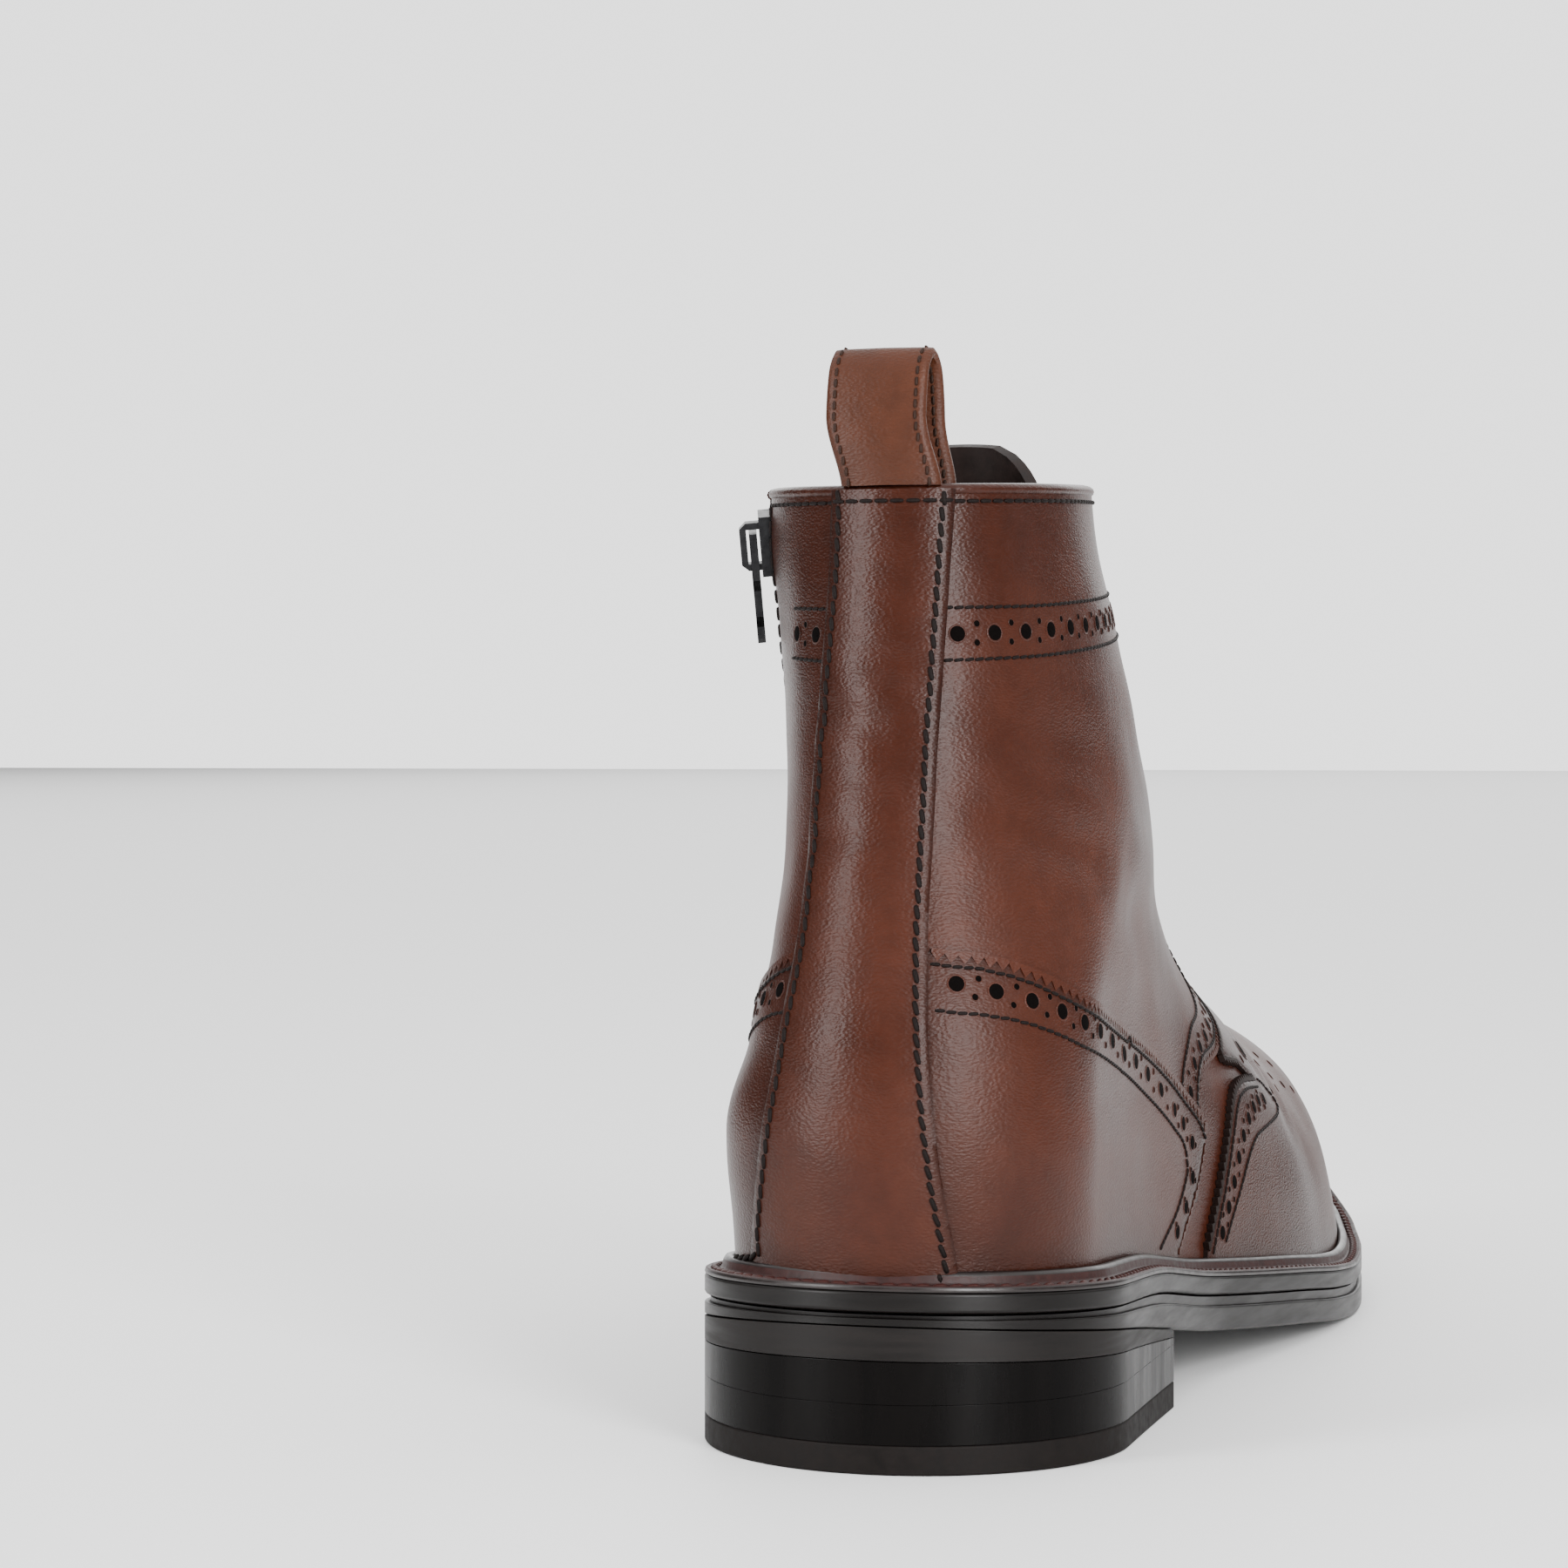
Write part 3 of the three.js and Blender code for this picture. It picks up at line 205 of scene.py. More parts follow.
def skinHalf(y, z, side):
    rise = riseAt(y, z)
    power, root = readColumn(rollRows, "power", y / length), readColumn(rollRows, "root", y / length)
    roll = (1 - rise ** power) ** (1 / root)
    heelward = 1 - smooth(y, boot["heelLength"] * 0.6, boot["heelLength"] * 1.7)
    shifted = y - (backLine(z) - boot["weltWidth"]) * heelward
    swell = legHalf(z, side) / (boot["heelWidth"] / 2 - boot["weltWidth"])
    foot = outlineHalf(shifted, boot["weltWidth"], side) * lerp(1, swell, heelward) * roll
    depth = ankle * leg("depth", z)
    middle = backLine(z) + depth
    reach = np.where(y < middle, depth, ridgeFront(z) - middle)
    share = np.minimum(1, np.abs(y - middle) / reach)
    shank = legHalf(z, side) * (1 - share ** boot["legPower"]) ** (1 / boot["legPower"])
    return lerp(foot, shank, legness(z))


def skinCentre(y, z):
    foot = lerp(centreline(y), -boot["ridgeSwing"] * smooth(y, 0, length * 0.4), riseAt(y, z))
    share = (y - backLine(z)) / (ridgeFront(z) - backLine(z))
    return lerp(foot, ankle * lerp(leg("atBack", z), leg("atFront", z), share), legness(z))


def pathShares(points):
    run = np.concatenate([[0], np.cumsum(np.hypot(*np.diff(points, axis=0).T))])
    return run / run[-1], points


def ridgeAndBase():
    ys = upperTip - boot["toeBoxLength"] * (np.arange(1, 61) / 60) ** 2
    upper = [(upperTip, float(feather(upperTip)))] + list(zip(ys, ridgeHeight(ys)))
    top = collar + boot["collarTilt"]
    upper += [(y, z) for y, z in ridge[::-1] if y < ys[-1] and z < top]
    start = float(backLine(feather(0)))
    ys = lerp(upperTip, start, np.arange(81) / 80)
    lower = list(zip(ys, feather(ys)))
    zs = lerp(lower[-1][1], collar, np.arange(1, 61) / 60)
    lower += list(zip(backLine(zs), zs))
    return pathShares(np.array(upper)), pathShares(np.array(lower))


(ridgeRun, ridgeWay), (baseRun, baseWay) = ridgeAndBase()


# p runs from the toe to the collar, q from the ridge (0) down to the sole or back line (1 outer, -1 inner).
def ringPlace(p, q):
    atRidge, atBase = readColumn(ringRows, "ridge", p), readColumn(ringRows, "base", p)
    t = (1 - np.cos(np.pi * np.abs(q))) / 2
    y = lerp(np.interp(atRidge, ridgeRun, ridgeWay[:, 0]), np.interp(atBase, baseRun, baseWay[:, 0]), t)
    z = lerp(np.interp(atRidge, ridgeRun, ridgeWay[:, 1]), np.interp(atBase, baseRun, baseWay[:, 1]), t)
    side = np.where(q >= 0, 1, -1)
    return np.stack([skinCentre(y, z) + side * skinHalf(y, z, side), y, z], -1)


# The skin as a dense grid, with its normals; everything on the upper is placed by reading it.
gridRows, gridColumns = 341, 241
rowShares, columnShares = np.linspace(0, 1, gridRows), np.linspace(-1, 1, gridColumns)
skin = ringPlace(rowShares[:, None], columnShares[None, :])
onBack = readColumn(ringRows, "base", rowShares) > baseRun[80] + 1e-6   # rows that meet at the back line


def gridNormals(points):
    alongRows = np.gradient(points, axis=0)
    padded = np.concatenate([points[:, -2:-1], points, points[:, 1:2]], 1)
    around = np.gradient(padded, axis=1)[:, 1:-1]
    oneSided = np.gradient(points, axis=1)
    for end in (0, -1):
        around[~onBack, end] = oneSided[~onBack, end]
    normal = np.cross(around, alongRows)
    size = np.linalg.norm(normal, axis=2, keepdims=True)
    normal = normal / np.maximum(size, 1e-9)
    normal[0] = (0, 1, 0)
    outward = np.sum(normal * (points - np.array([-5, 60, 0])) * np.array([1, 0, 0]))
    return normal if outward > 0 else -normal


# Soft troughs and ridges in the leather: from and to a place, width and depth in millimetres.
creases = [
    {"a": (-13, 17, 116), "b": (2, 14, 112), "width": 2.6, "depth": 0.55},
    {"a": (-7, 15, 124), "b": (9, 17, 121), "width": 2.4, "depth": 0.45},
    {"a": (-12, 14, 105), "b": (6, 12, 107), "width": 3.0, "depth": 0.35},
    {"a": (-16, 16, 92), "b": (-4, 9, 98), "width": 3.2, "depth": 0.5},
    {"a": (14, 14, 100), "b": (30, 45, 92), "width": 5.0, "depth": 0.7},
    {"a": (16, 18, 110), "b": (31, 55, 106), "width": 6.0, "depth": 0.5},
    {"a": (31, 60, 84), "b": (30, 100, 76), "width": 6.0, "depth": 0.8},
    {"a": (-26, 40, 96), "b": (-24, 78, 86), "width": 5.0, "depth": 0.7},
    {"a": (-24, 50, 78), "b": (-22, 95, 72), "width": 5.5, "depth": 0.8},
    {"a": (36, 168, 46), "b": (4, 182, 68), "width": 3.6, "depth": 0.7},
    {"a": (38, 176, 40), "b": (0, 196, 64), "width": 4.2, "depth": 0.8},
    {"a": (-40, 172, 44), "b": (-14, 184, 68), "width": 3.8, "depth": 0.7},
    {"a": (-42, 184, 38), "b": (-12, 198, 64), "width": 4.2, "depth": 0.7},
    {"a": (-20, 22, 120), "b": (-13, 19, 136), "width": 4.0, "depth": 0.4},
]


def creaseDepth(points):
    depth = np.zeros(points.shape[:-1])
    for crease in creases:
        a, b = np.array(crease["a"], float), np.array(crease["b"], float)
        t = np.clip(np.sum((points - a) * (b - a), -1) / np.sum((b - a) ** 2), 0, 1)
        away = np.linalg.norm(points - (a + t[..., None] * (b - a)), axis=-1)
        share = away / crease["width"]
        fade = np.minimum(1, 4 * t * (1 - t) + 0.25)
        depth += crease["depth"] * fade * (0.45 * np.exp(-((share - 1.7) ** 2)) - np.exp(-share ** 2))
    return depth


normals = gridNormals(skin)
wave = (0.08 * np.sin(skin[..., 2] * 0.21 + skin[..., 1] * 0.07) * np.sin(skin[..., 1] * 0.13 + 1.1)
        + 0.05 * np.sin(skin[..., 2] * 0.45 + skin[..., 0] * 0.2))
skin = skin + normals * (creaseDepth(skin) + wave)[..., None]
normals = gridNormals(skin)


def onSkin(p, q, height=0.0):   # place and normal on the skin; q past 1 or -1 goes round the back
    q = (np.asarray(q, float) + 1) % 2 - 1
    row = np.clip(np.asarray(p, float), 0, 1) * (gridRows - 1)
    column = (q + 1) / 2 * (gridColumns - 1)
    i, j = np.minimum(row.astype(int), gridRows - 2), np.minimum(column.astype(int), gridColumns - 2)
    u, v = (row - i)[..., None], (column - j)[..., None]

    def read(grid):
        return ((1 - u) * (1 - v) * grid[i, j] + u * (1 - v) * grid[i + 1, j]
                + (1 - u) * v * grid[i, j + 1] + u * v * grid[i + 1, j + 1])
    normal = read(normals)
    normal /= np.linalg.norm(normal, axis=-1, keepdims=True)
    return read(skin) + normal * np.asarray(height, float)[..., None], normal


def locate(targets, axes, where):   # the shares p and q at places given by two coordinates
    rows, columns = np.nonzero(where)
    flat = skin[rows, columns][:, axes]
    found = []
    for target in np.asarray(targets, float):
        k = int(np.argmin(np.sum((flat - target) ** 2, 1)))
        p, q = rowShares[rows[k]], columnShares[columns[k]]
        for _ in range(4):
            base = onSkin(np.array(p), np.array(q))[0][axes]
            step = 1e-3
            jac = np.stack([onSkin(np.array(p + step), np.array(q))[0][axes] - base,
                            onSkin(np.array(p), np.array(q + step))[0][axes] - base], 1) / step
            if abs(np.linalg.det(jac)) < 1e-3:
                break
            move = np.clip(np.linalg.solve(jac, target - base), -0.01, 0.01)
            p, q = p + move[0], q + move[1]
        found.append((p, q))
    return np.array(found)


columnsGrid = np.broadcast_to(columnShares[None, :], (gridRows, gridColumns))
outerHalf, innerHalf = columnsGrid > 0.01, columnsGrid < -0.01
backHalf = (np.abs(columnsGrid) > 0.5) & (skin[..., 1] < 75) & onBack[:, None]
sideAxes, backAxes = [1, 2], [0, 2]

# Meshes and materials.


def makeObject(name, points, faces, material, body="boot", replaces=()):
    points = (np.asarray(points, float) + shift) / 1000
    mesh = bpy.data.meshes.new(name)
    mesh.from_pydata(points.tolist(), [], [tuple(int(v) for v in face) for face in faces])
    mesh.validate()
    mesh.update()
    mesh.shade_smooth()
    mesh.set_sharp_from_angle(angle=math.radians(52))
    obj = bpy.data.objects.new(name, mesh)
    bpy.context.scene.collection.objects.link(obj)
    mesh.materials.append(material)
    finish(obj, body, replaces)
    return obj


def finish(obj, body, replaces):
    if body:
        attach(obj, body)
        if replaces:
            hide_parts(*replaces)


def newMaterial(name):
    material = bpy.data.materials.new(name)
    material.use_nodes = True
    tree = material.node_tree
    shader = tree.nodes["Principled BSDF"]

    def add(kind, values=None, **options):
        node = tree.nodes.new(kind)
        for key, value in options.items():
            setattr(node, key, value)
        for key, value in (values or {}).items():
            node.inputs[key].default_value = value
        return node
    return material, tree.links.new, shader, add


def ramp(add, stops):
    node = add("ShaderNodeValToRGB")
    elements = node.color_ramp.elements
    while len(elements) < len(stops):
        elements.new(0.5)
    for element, (position, colour) in zip(elements, stops):
        element.position = position
        element.color = (*colour, 1)
    return node


leatherLook = {
    "deep": (0.0075, 0.0017, 0.001), "main": (0.0292, 0.0067, 0.0030), "light": (0.064, 0.0162, 0.0073),
    "grainSize": 1700, "poreSize": 3000, "roughness": 0.35,
}


def makeLeather(name, look, edgeDark=0.72, grain=0.24):
    material, link, shader, add = newMaterial(name)
    place = add("ShaderNodeTexCoord")
    clouds = add("ShaderNodeTexNoise", {"Scale": 17, "Detail": 4, "Roughness": 0.5, "Distortion": 0.4})
    link(place.outputs["Object"], clouds.inputs["Vector"])
    tones = ramp(add, [(0.1, look["deep"]), (0.5, look["main"]), (0.95, look["light"])])
    link(clouds.outputs["Fac"], tones.inputs["Fac"])
    fine = add("ShaderNodeTexNoise", {"Scale": 240, "Detail": 4, "Roughness": 0.65})
    link(place.outputs["Object"], fine.inputs["Vector"])
    mottle = add("ShaderNodeMix", data_type="RGBA", blend_type="OVERLAY")
    mottle.inputs[0].default_value = 0.3
    link(tones.outputs["Color"], mottle.inputs[6])
    link(fine.outputs["Fac"], mottle.inputs[7])
    # The colour is darkened by a point attribute that panel() sets near each panel's edges and near the sole.
    edgeDarkening = add("ShaderNodeAttribute", attribute_name="edgeDarkening")
    dark = add("ShaderNodeMix", data_type="RGBA", blend_type="MULTIPLY")
    dark.inputs[7].default_value = (1 - edgeDark, (1 - edgeDark) * 0.9, (1 - edgeDark) * 0.86, 1)
    link(edgeDarkening.outputs["Fac"], dark.inputs[0])
    link(mottle.outputs[2], dark.inputs[6])
    link(dark.outputs[2], shader.inputs["Base Color"])
    cells = {"Scale": look["grainSize"], "Randomness": 1}
    grainNode = add("ShaderNodeTexVoronoi", cells, feature="SMOOTH_F1")
    wrinkle = add("ShaderNodeMapping", {"Scale": (1, 1, 1.9)})
    link(place.outputs["Object"], wrinkle.inputs["Vector"])
    link(wrinkle.outputs["Vector"], grainNode.inputs["Vector"])
    pores = add("ShaderNodeTexNoise", {"Scale": look["poreSize"], "Detail": 2})
    link(place.outputs["Object"], pores.inputs["Vector"])
    sheen = add("ShaderNodeMapRange", {"From Min": 0.3, "From Max": 0.7,
                                       "To Min": look["roughness"] - 0.07, "To Max": look["roughness"] + 0.1})
    link(clouds.outputs["Fac"], sheen.inputs["Value"])
    link(sheen.outputs["Result"], shader.inputs["Roughness"])
    total = add("ShaderNodeMath", operation="MULTIPLY_ADD")
    total.inputs[1].default_value = 0.3
    link(pores.outputs["Fac"], total.inputs[0])
    link(grainNode.outputs["Distance"], total.inputs[2])
    bump = add("ShaderNodeBump", {"Strength": grain, "Distance": 0.0004})
    link(total.outputs["Value"], bump.inputs["Height"])
    link(bump.outputs["Normal"], shader.inputs["Normal"])
    shader.inputs["Specular IOR Level"].default_value = 0.17
    return material


def makePlain(name, colour, roughness, scale=300, bumpSize=0.0002, metallic=0.0, stretch=(1, 1, 1),
              specular=0.3):
    material, link, shader, add = newMaterial(name)
    place = add("ShaderNodeTexCoord")
    turn = add("ShaderNodeMapping", {"Scale": stretch})
    link(place.outputs["Object"], turn.inputs["Vector"])
    noise = add("ShaderNodeTexNoise", {"Scale": scale, "Detail": 5, "Roughness": 0.6})
    link(turn.outputs["Vector"], noise.inputs["Vector"])
    low, high = (tuple(c * share for c in colour) for share in (0.65, 1.35))
    tones = ramp(add, [(0.3, low), (0.7, high)])
    link(noise.outputs["Fac"], tones.inputs["Fac"])
    link(tones.outputs["Color"], shader.inputs["Base Color"])
    rough = add("ShaderNodeMapRange", {"From Min": 0.3, "From Max": 0.7,
                                       "To Min": roughness - 0.06, "To Max": roughness + 0.08})
    link(noise.outputs["Fac"], rough.inputs["Value"])
    link(rough.outputs["Result"], shader.inputs["Roughness"])
    bump = add("ShaderNodeBump", {"Strength": 0.3, "Distance": bumpSize})
    link(noise.outputs["Fac"], bump.inputs["Height"])
    link(bump.outputs["Normal"], shader.inputs["Normal"])
    shader.inputs["Metallic"].default_value = metallic
    shader.inputs["Specular IOR Level"].default_value = specular
    return material


leather = makeLeather("brown leather darker near its edges", leatherLook)
strapLeather = makeLeather("strap leather", {
    **leatherLook, "main": (0.0318, 0.0073, 0.0032), "light": (0.069, 0.0172, 0.0077),
})
loopLeather = makeLeather("loop leather", {
    **leatherLook, "deep": (0.015, 0.0042, 0.002), "main": (0.047, 0.0135, 0.0057),
    "light": (0.085, 0.027, 0.012), "roughness": 0.44,
})
thread = makePlain("waxed dark thread", (0.0042, 0.0022, 0.0018), 0.6, 1800, specular=0.1)
loopThread = makePlain("brown thread", (0.016, 0.0062, 0.0032), 0.6, 1800, specular=0.15)
weltThread = makePlain("welt thread", (0.03, 0.0065, 0.005), 0.5, 1500, specular=0.25)
cutEdge = makePlain("raw cut edge", (0.0075, 0.003, 0.002), 0.62, 900, specular=0.15)
tanEdge = makePlain("raw tan edge", (0.12, 0.038, 0.016), 0.55, 900)
# Painted shade: the holes are not cut through the leather; this near black colour on flat discs stands for
# the shade inside each hole.
holeShade = makePlain("painted shade inside the punched holes", (0.0016, 0.001, 0.0009), 0.8, 700, specular=0.03)
liningLeather = makePlain("dark lining", (0.005, 0.0034, 0.003), 0.66, 420, specular=0.15)
tongueLeather = makePlain("tongue leather", (0.0075, 0.0034, 0.0026), 0.55, 380, specular=0.2)
soleEdge = makePlain("polished sole edge", (0.003, 0.0022, 0.0019), 0.36, 60, 0.00012,
                     stretch=(1, 1, 9), specular=0.17)
weltLeather = makePlain("welt leather", (0.0055, 0.0024, 0.0019), 0.34, 260, 0.00025, specular=0.4)
channelLeather = makePlain("stitched channel", (0.017, 0.0032, 0.0024), 0.45, 500, 0.0003, specular=0.25)
liftEdge = makePlain("stacked lift edge", (0.0016, 0.0012, 0.0011), 0.27, 45, 0.00006,
                     stretch=(6, 6, 1), specular=0.06)
seatEdge = makePlain("seat lift edge", (0.0052, 0.004, 0.0036), 0.48, 60, 0.0001,
                     stretch=(1, 1, 12), specular=0.15)
topPieceEdge = makePlain("top piece rubber", (0.0046, 0.0033, 0.0029), 0.6, 500, specular=0.1)
gunmetal = makePlain("black gunmetal", (0.02, 0.02, 0.021), 0.32, 700, 0.00005, metallic=1.0)
zipCloth = makePlain("zip tape cloth", (0.006, 0.0055, 0.0055), 0.85, 1400, 0.0003)
laceCord = makePlain("waxed lace", (0.01, 0.006, 0.005), 0.6, 1600, 0.0003)
print("materials ready")

# Leather panels, cut from the skin.


def distanceTo(points, line, closed=False):   # distance to a polyline in the plane
    best = np.full(points.shape[:-1], 1e9)
    line = np.asarray(line, float)
    ends = np.roll(line, -1, 0) if closed else line[1:]
    for a, b in zip(line if closed else line[:-1], ends):
        run = b - a
        t = np.clip(np.sum((points - a) * run, -1) / max(np.sum(run ** 2), 1e-9), 0, 1)
        best = np.minimum(best, np.linalg.norm(points - (a + t[..., None] * run), axis=-1))
    return best


def insideOf(points, outline):
    inside = np.zeros(points.shape[:-1], bool)
    x, y = points[..., 0], points[..., 1]
    outline = np.asarray(outline, float)
    for (x0, y0), (x1, y1) in zip(outline, np.roll(outline, -1, 0)):
        if y0 == y1:
            continue
        crosses = (y0 > y) != (y1 > y)
        inside ^= crosses & (x < (x1 - x0) * (y - y0) / (y1 - y0) + x0)
    return inside


def polygonField(outline, axes=(1, 2), side=0):   # positive inside the outline
    def field(points):
        flat = points[..., list(axes)]
        away = distanceTo(flat, outline, True)
        value = np.where(insideOf(flat, outline), away, -away)
        if side:
            middle = skinCentre(points[..., 1], points[..., 2])
            value = np.minimum(value, side * (points[..., 0] - middle))
        return value
    return field


def cutPatch(fields, columns=(-1.0, 1.0), stride=1):
    first, last = (int(round((column + 1) / 2 * (gridColumns - 1))) for column in columns)
    across = columnShares[0] + np.arange(first, last + 1, stride) * (columnShares[1] - columnShares[0])
    p, q = np.meshgrid(rowShares[::stride], across, indexing="ij")
    height, width = p.shape
    params = np.stack([p.ravel(), q.ravel()], 1)
    index = np.arange(height * width).reshape(height, width)
    faces = np.stack([index[:-1, :-1], index[:-1, 1:], index[1:, 1:], index[1:, :-1]], -1).reshape(-1, 4)
    faces = [tuple(f) for f in faces]
    for field in fields:
        params, faces = cutFaces(params, faces, field)
    used = sorted({v for face in faces for v in face})
    rename = {v: k for k, v in enumerate(used)}
    return params[used], [[rename[v] for v in face] for face in faces]


def cutFaces(params, faces, field):   # keeps what lies on the positive side
    values = field(onSkin(params[:, 0], params[:, 1])[0])
    extra, cache = [], {}
    positive = values > 0
    quads = np.array([f for f in faces if len(f) == 4], int).reshape(-1, 4)
    allIn, anyIn = positive[quads].all(1), positive[quads].any(1)
    kept = [tuple(f) for f in quads[allIn]]
    mixed = [tuple(f) for f in quads[anyIn & ~allIn]] + [f for f in faces if len(f) != 4]
    count = len(params)
    for face in mixed:
        result = []
        for a, b in zip(face, face[1:] + face[:1]):
            if positive[a]:
                result.append(a)
            if positive[a] != positive[b]:
                key = (min(a, b), max(a, b))
                if key not in cache:
                    t = values[key[0]] / (values[key[0]] - values[key[1]])
                    t = min(0.98, max(0.02, t))
                    cache[key] = count + len(extra)
                    extra.append(params[key[0]] + (params[key[1]] - params[key[0]]) * t)
                result.append(cache[key])
        if len(result) >= 3:
            kept.append(tuple(result))
    if extra:
        params = np.concatenate([params, np.array(extra)])
    return params, kept


def boundaryEdges(faces):
    edges = {}
    for face in faces:
        for a, b in zip(face, list(face[1:]) + [face[0]]):
            edges[(a, b)] = True
    return [(a, b) for a, b in edges if (b, a) not in edges]


# A panel lies between the heights low and top over the skin, with rounded edges; its leather colour is darker
# near its edges and near the sole.
def panel(name, fields, top, low, material, replaces=(), columns=(-1.0, 1.0), edgeDarkening=3.0, edge=cutEdge):
    params, faces = cutPatch(fields, columns)
    base, normal = onSkin(params[:, 0], params[:, 1])
    away = np.min([np.maximum(field(base), 0) for field in fields], 0)
    share = np.clip(away, 0, 1)
    lift = low + (top - low) * (0.74 + 0.26 * np.sqrt(1 - (1 - share) ** 2))
    outside = base + normal * lift[:, None]
    edges = boundaryEdges(faces)
    rim = {}
    for a, b in edges:
        rim.setdefault(a, len(base) + len(rim))
        rim.setdefault(b, len(base) + len(rim))
    order = sorted(rim, key=rim.get)
    under = base[order] + normal[order] * low
    points = np.concatenate([outside, under])
    allFaces = [tuple(f) for f in faces] + [(b, a, rim[a], rim[b]) for a, b in edges]
    obj = makeObject(name, points, allFaces, material, replaces=replaces)
    obj.data.materials.append(edge)
    for polygon in obj.data.polygons:
        if max(polygon.vertices) >= len(base):
            polygon.material_index = 1
    # Darker colour: strongest at the panel's edges and fading inwards over the given width, and fading
    # upwards over about 5 mm from the sole.
    shade = np.exp(-away / edgeDarkening) * 0.8
    nearSole = np.exp(-np.maximum(base[:, 2] - feather(base[:, 1]), 0) / 5.0) * 0.8
    shade = np.clip(np.maximum(shade, nearSole), 0, 1)
    attribute = obj.data.attributes.new("edgeDarkening", "FLOAT", "POINT")
    attribute.data.foreach_set("value", np.concatenate([shade, np.ones(len(order))]).astype(np.float32))


def sideLine(shares):
    return [(y * length, z * collar) for y, z in shares]


strapEdges = {   # seen from behind, in shares of the ankle's half width
    "at": [0.1, 0.2, 0.327, 0.457, 0.593, 0.7, 0.833, 0.907, 1.06],
    "left": [-0.96, -0.87, -0.74, -0.604, -0.514, -0.502, -0.461, -0.433, -0.415],
    "right": [0.56, 0.51, 0.416, 0.343, 0.298, 0.298, 0.318, 0.335, 0.37],
}
counterTop = [
    (-6, 80.3), (4, 79.4), (8.4, 78.6), (9.9, 78.3), (14.5, 76.5), (21.2, 73.1), (26.4, 71.0), (35.2, 68.6),
    (52.1, 64.9), (68.7, 61.2), (82.7, 57.6), (94.7, 53.6), (105, 49.0), (111.9, 45.0), (114.5, 42.0),
]
counterFront = [(113.2, 40.0), (110.4, 35.7), (106.1, 31.0), (96.7, 22.8), (91.5, 13.5)]
counterLow = [
    (5.7, 69.9), (11.2, 68.5), (18.9, 65.6), (25, 63.4), (39.5, 60.2), (54.7, 56.8), (68.8, 53.1),
    (82.4, 48.8), (93.7, 44.3), (101.3, 40.3), (102.4, 36.9), (98.5, 33.0), (93.7, 29.4), (84, 25.0),
]
counterHoles = [
    (8.1, 73.9), (11.2, 72.6), (19.1, 69.6), (24.9, 67.4), (36.7, 64.5), (55, 60.4), (73.2, 55.7),
    (86.5, 51.2), (96.8, 46.3), (105.6, 41.2), (106.6, 38.0), (104, 33.6), (97.6, 28.0), (91, 24.0),
]
quarterFront = sideLine([
    (0.36, 0.2), (0.372, 0.27), (0.373, 0.301), (0.383, 0.333), (0.403, 0.354), (0.44, 0.363), (0.498, 0.4),
    (0.538, 0.453), (0.564, 0.52), (0.62, 0.62),
])
wingRear = sideLine([
    (0.366, 0.09), (0.373, 0.141), (0.39, 0.19), (0.408, 0.238), (0.428, 0.287), (0.438, 0.303),
    (0.458, 0.319), (0.48, 0.323), (0.519, 0.318),
])
wingTop = sideLine([
    (0.519, 0.318), (0.492, 0.343), (0.452, 0.357), (0.498, 0.397), (0.54, 0.45), (0.562, 0.51), (0.6, 0.6),
])


def strapField(points):
    share = points[..., 2] / collar
    left, right = (ankle * readColumn(strapEdges, edge, share) for edge in ("left", "right"))
    value = np.minimum(points[..., 0] - left, right - points[..., 0])
    return np.where(points[..., 1] < ankle * 1.8, value, -20.0)


def throatHalf(z):
    return lerp(boot["throatBottomHalf"], boot["throatTopHalf"], smooth(z, boot["throatBottom"], collar + 5))


def throatField(points):   # positive outside the throat's opening
    z = points[..., 2]
    half = throatHalf(z)
    centre = skinCentre(ridgeFront(z), z)
    across = np.abs(points[..., 0] - centre) - half
    behind = ridgeFront(z) - 12 - points[..., 1]
    return np.maximum(np.maximum(across, boot["throatBottom"] - z), behind)


def zipY(z):
    return lerp(boot["zipBottomY"], boot["zipTopY"], (z - boot["zipBottomZ"]) / (collar - boot["zipBottomZ"]))


def slotField(grow=0.0):   # positive outside the zip's slot
    def field(points):
        z = points[..., 2]
        across = np.abs(points[..., 1] - zipY(z)) - boot["zipSlot"] / 2 - grow
        return np.maximum(np.maximum(across, boot["zipBottomZ"] - grow - z), points[..., 0] + ankle * 0.3)
    return field


def notField(field, gap=0.0):
    return lambda points: -field(points) - gap


def shell(name, low, top, material, fields, replaces=()):   # the wall: a near outside and the lining side
    params, faces = cutPatch(fields, stride=2)
    base, normal = onSkin(params[:, 0], params[:, 1])
    count = len(base)
    points = np.concatenate([base + normal * top, base + normal * low])
    allFaces = [tuple(f) for f in faces] + [tuple(v + count for v in reversed(f)) for f in faces]
    atBack = (np.abs(np.abs(params[:, 1]) - 1) < 1e-6)   # the two sides meet there, so no wall is needed
    allFaces += [(b, a, a + count, b + count) for a, b in boundaryEdges(faces)
                 if not (atBack[a] and atBack[b] and base[a, 2] > 31)]
    return makeObject(name, points, allFaces, material, replaces=replaces)


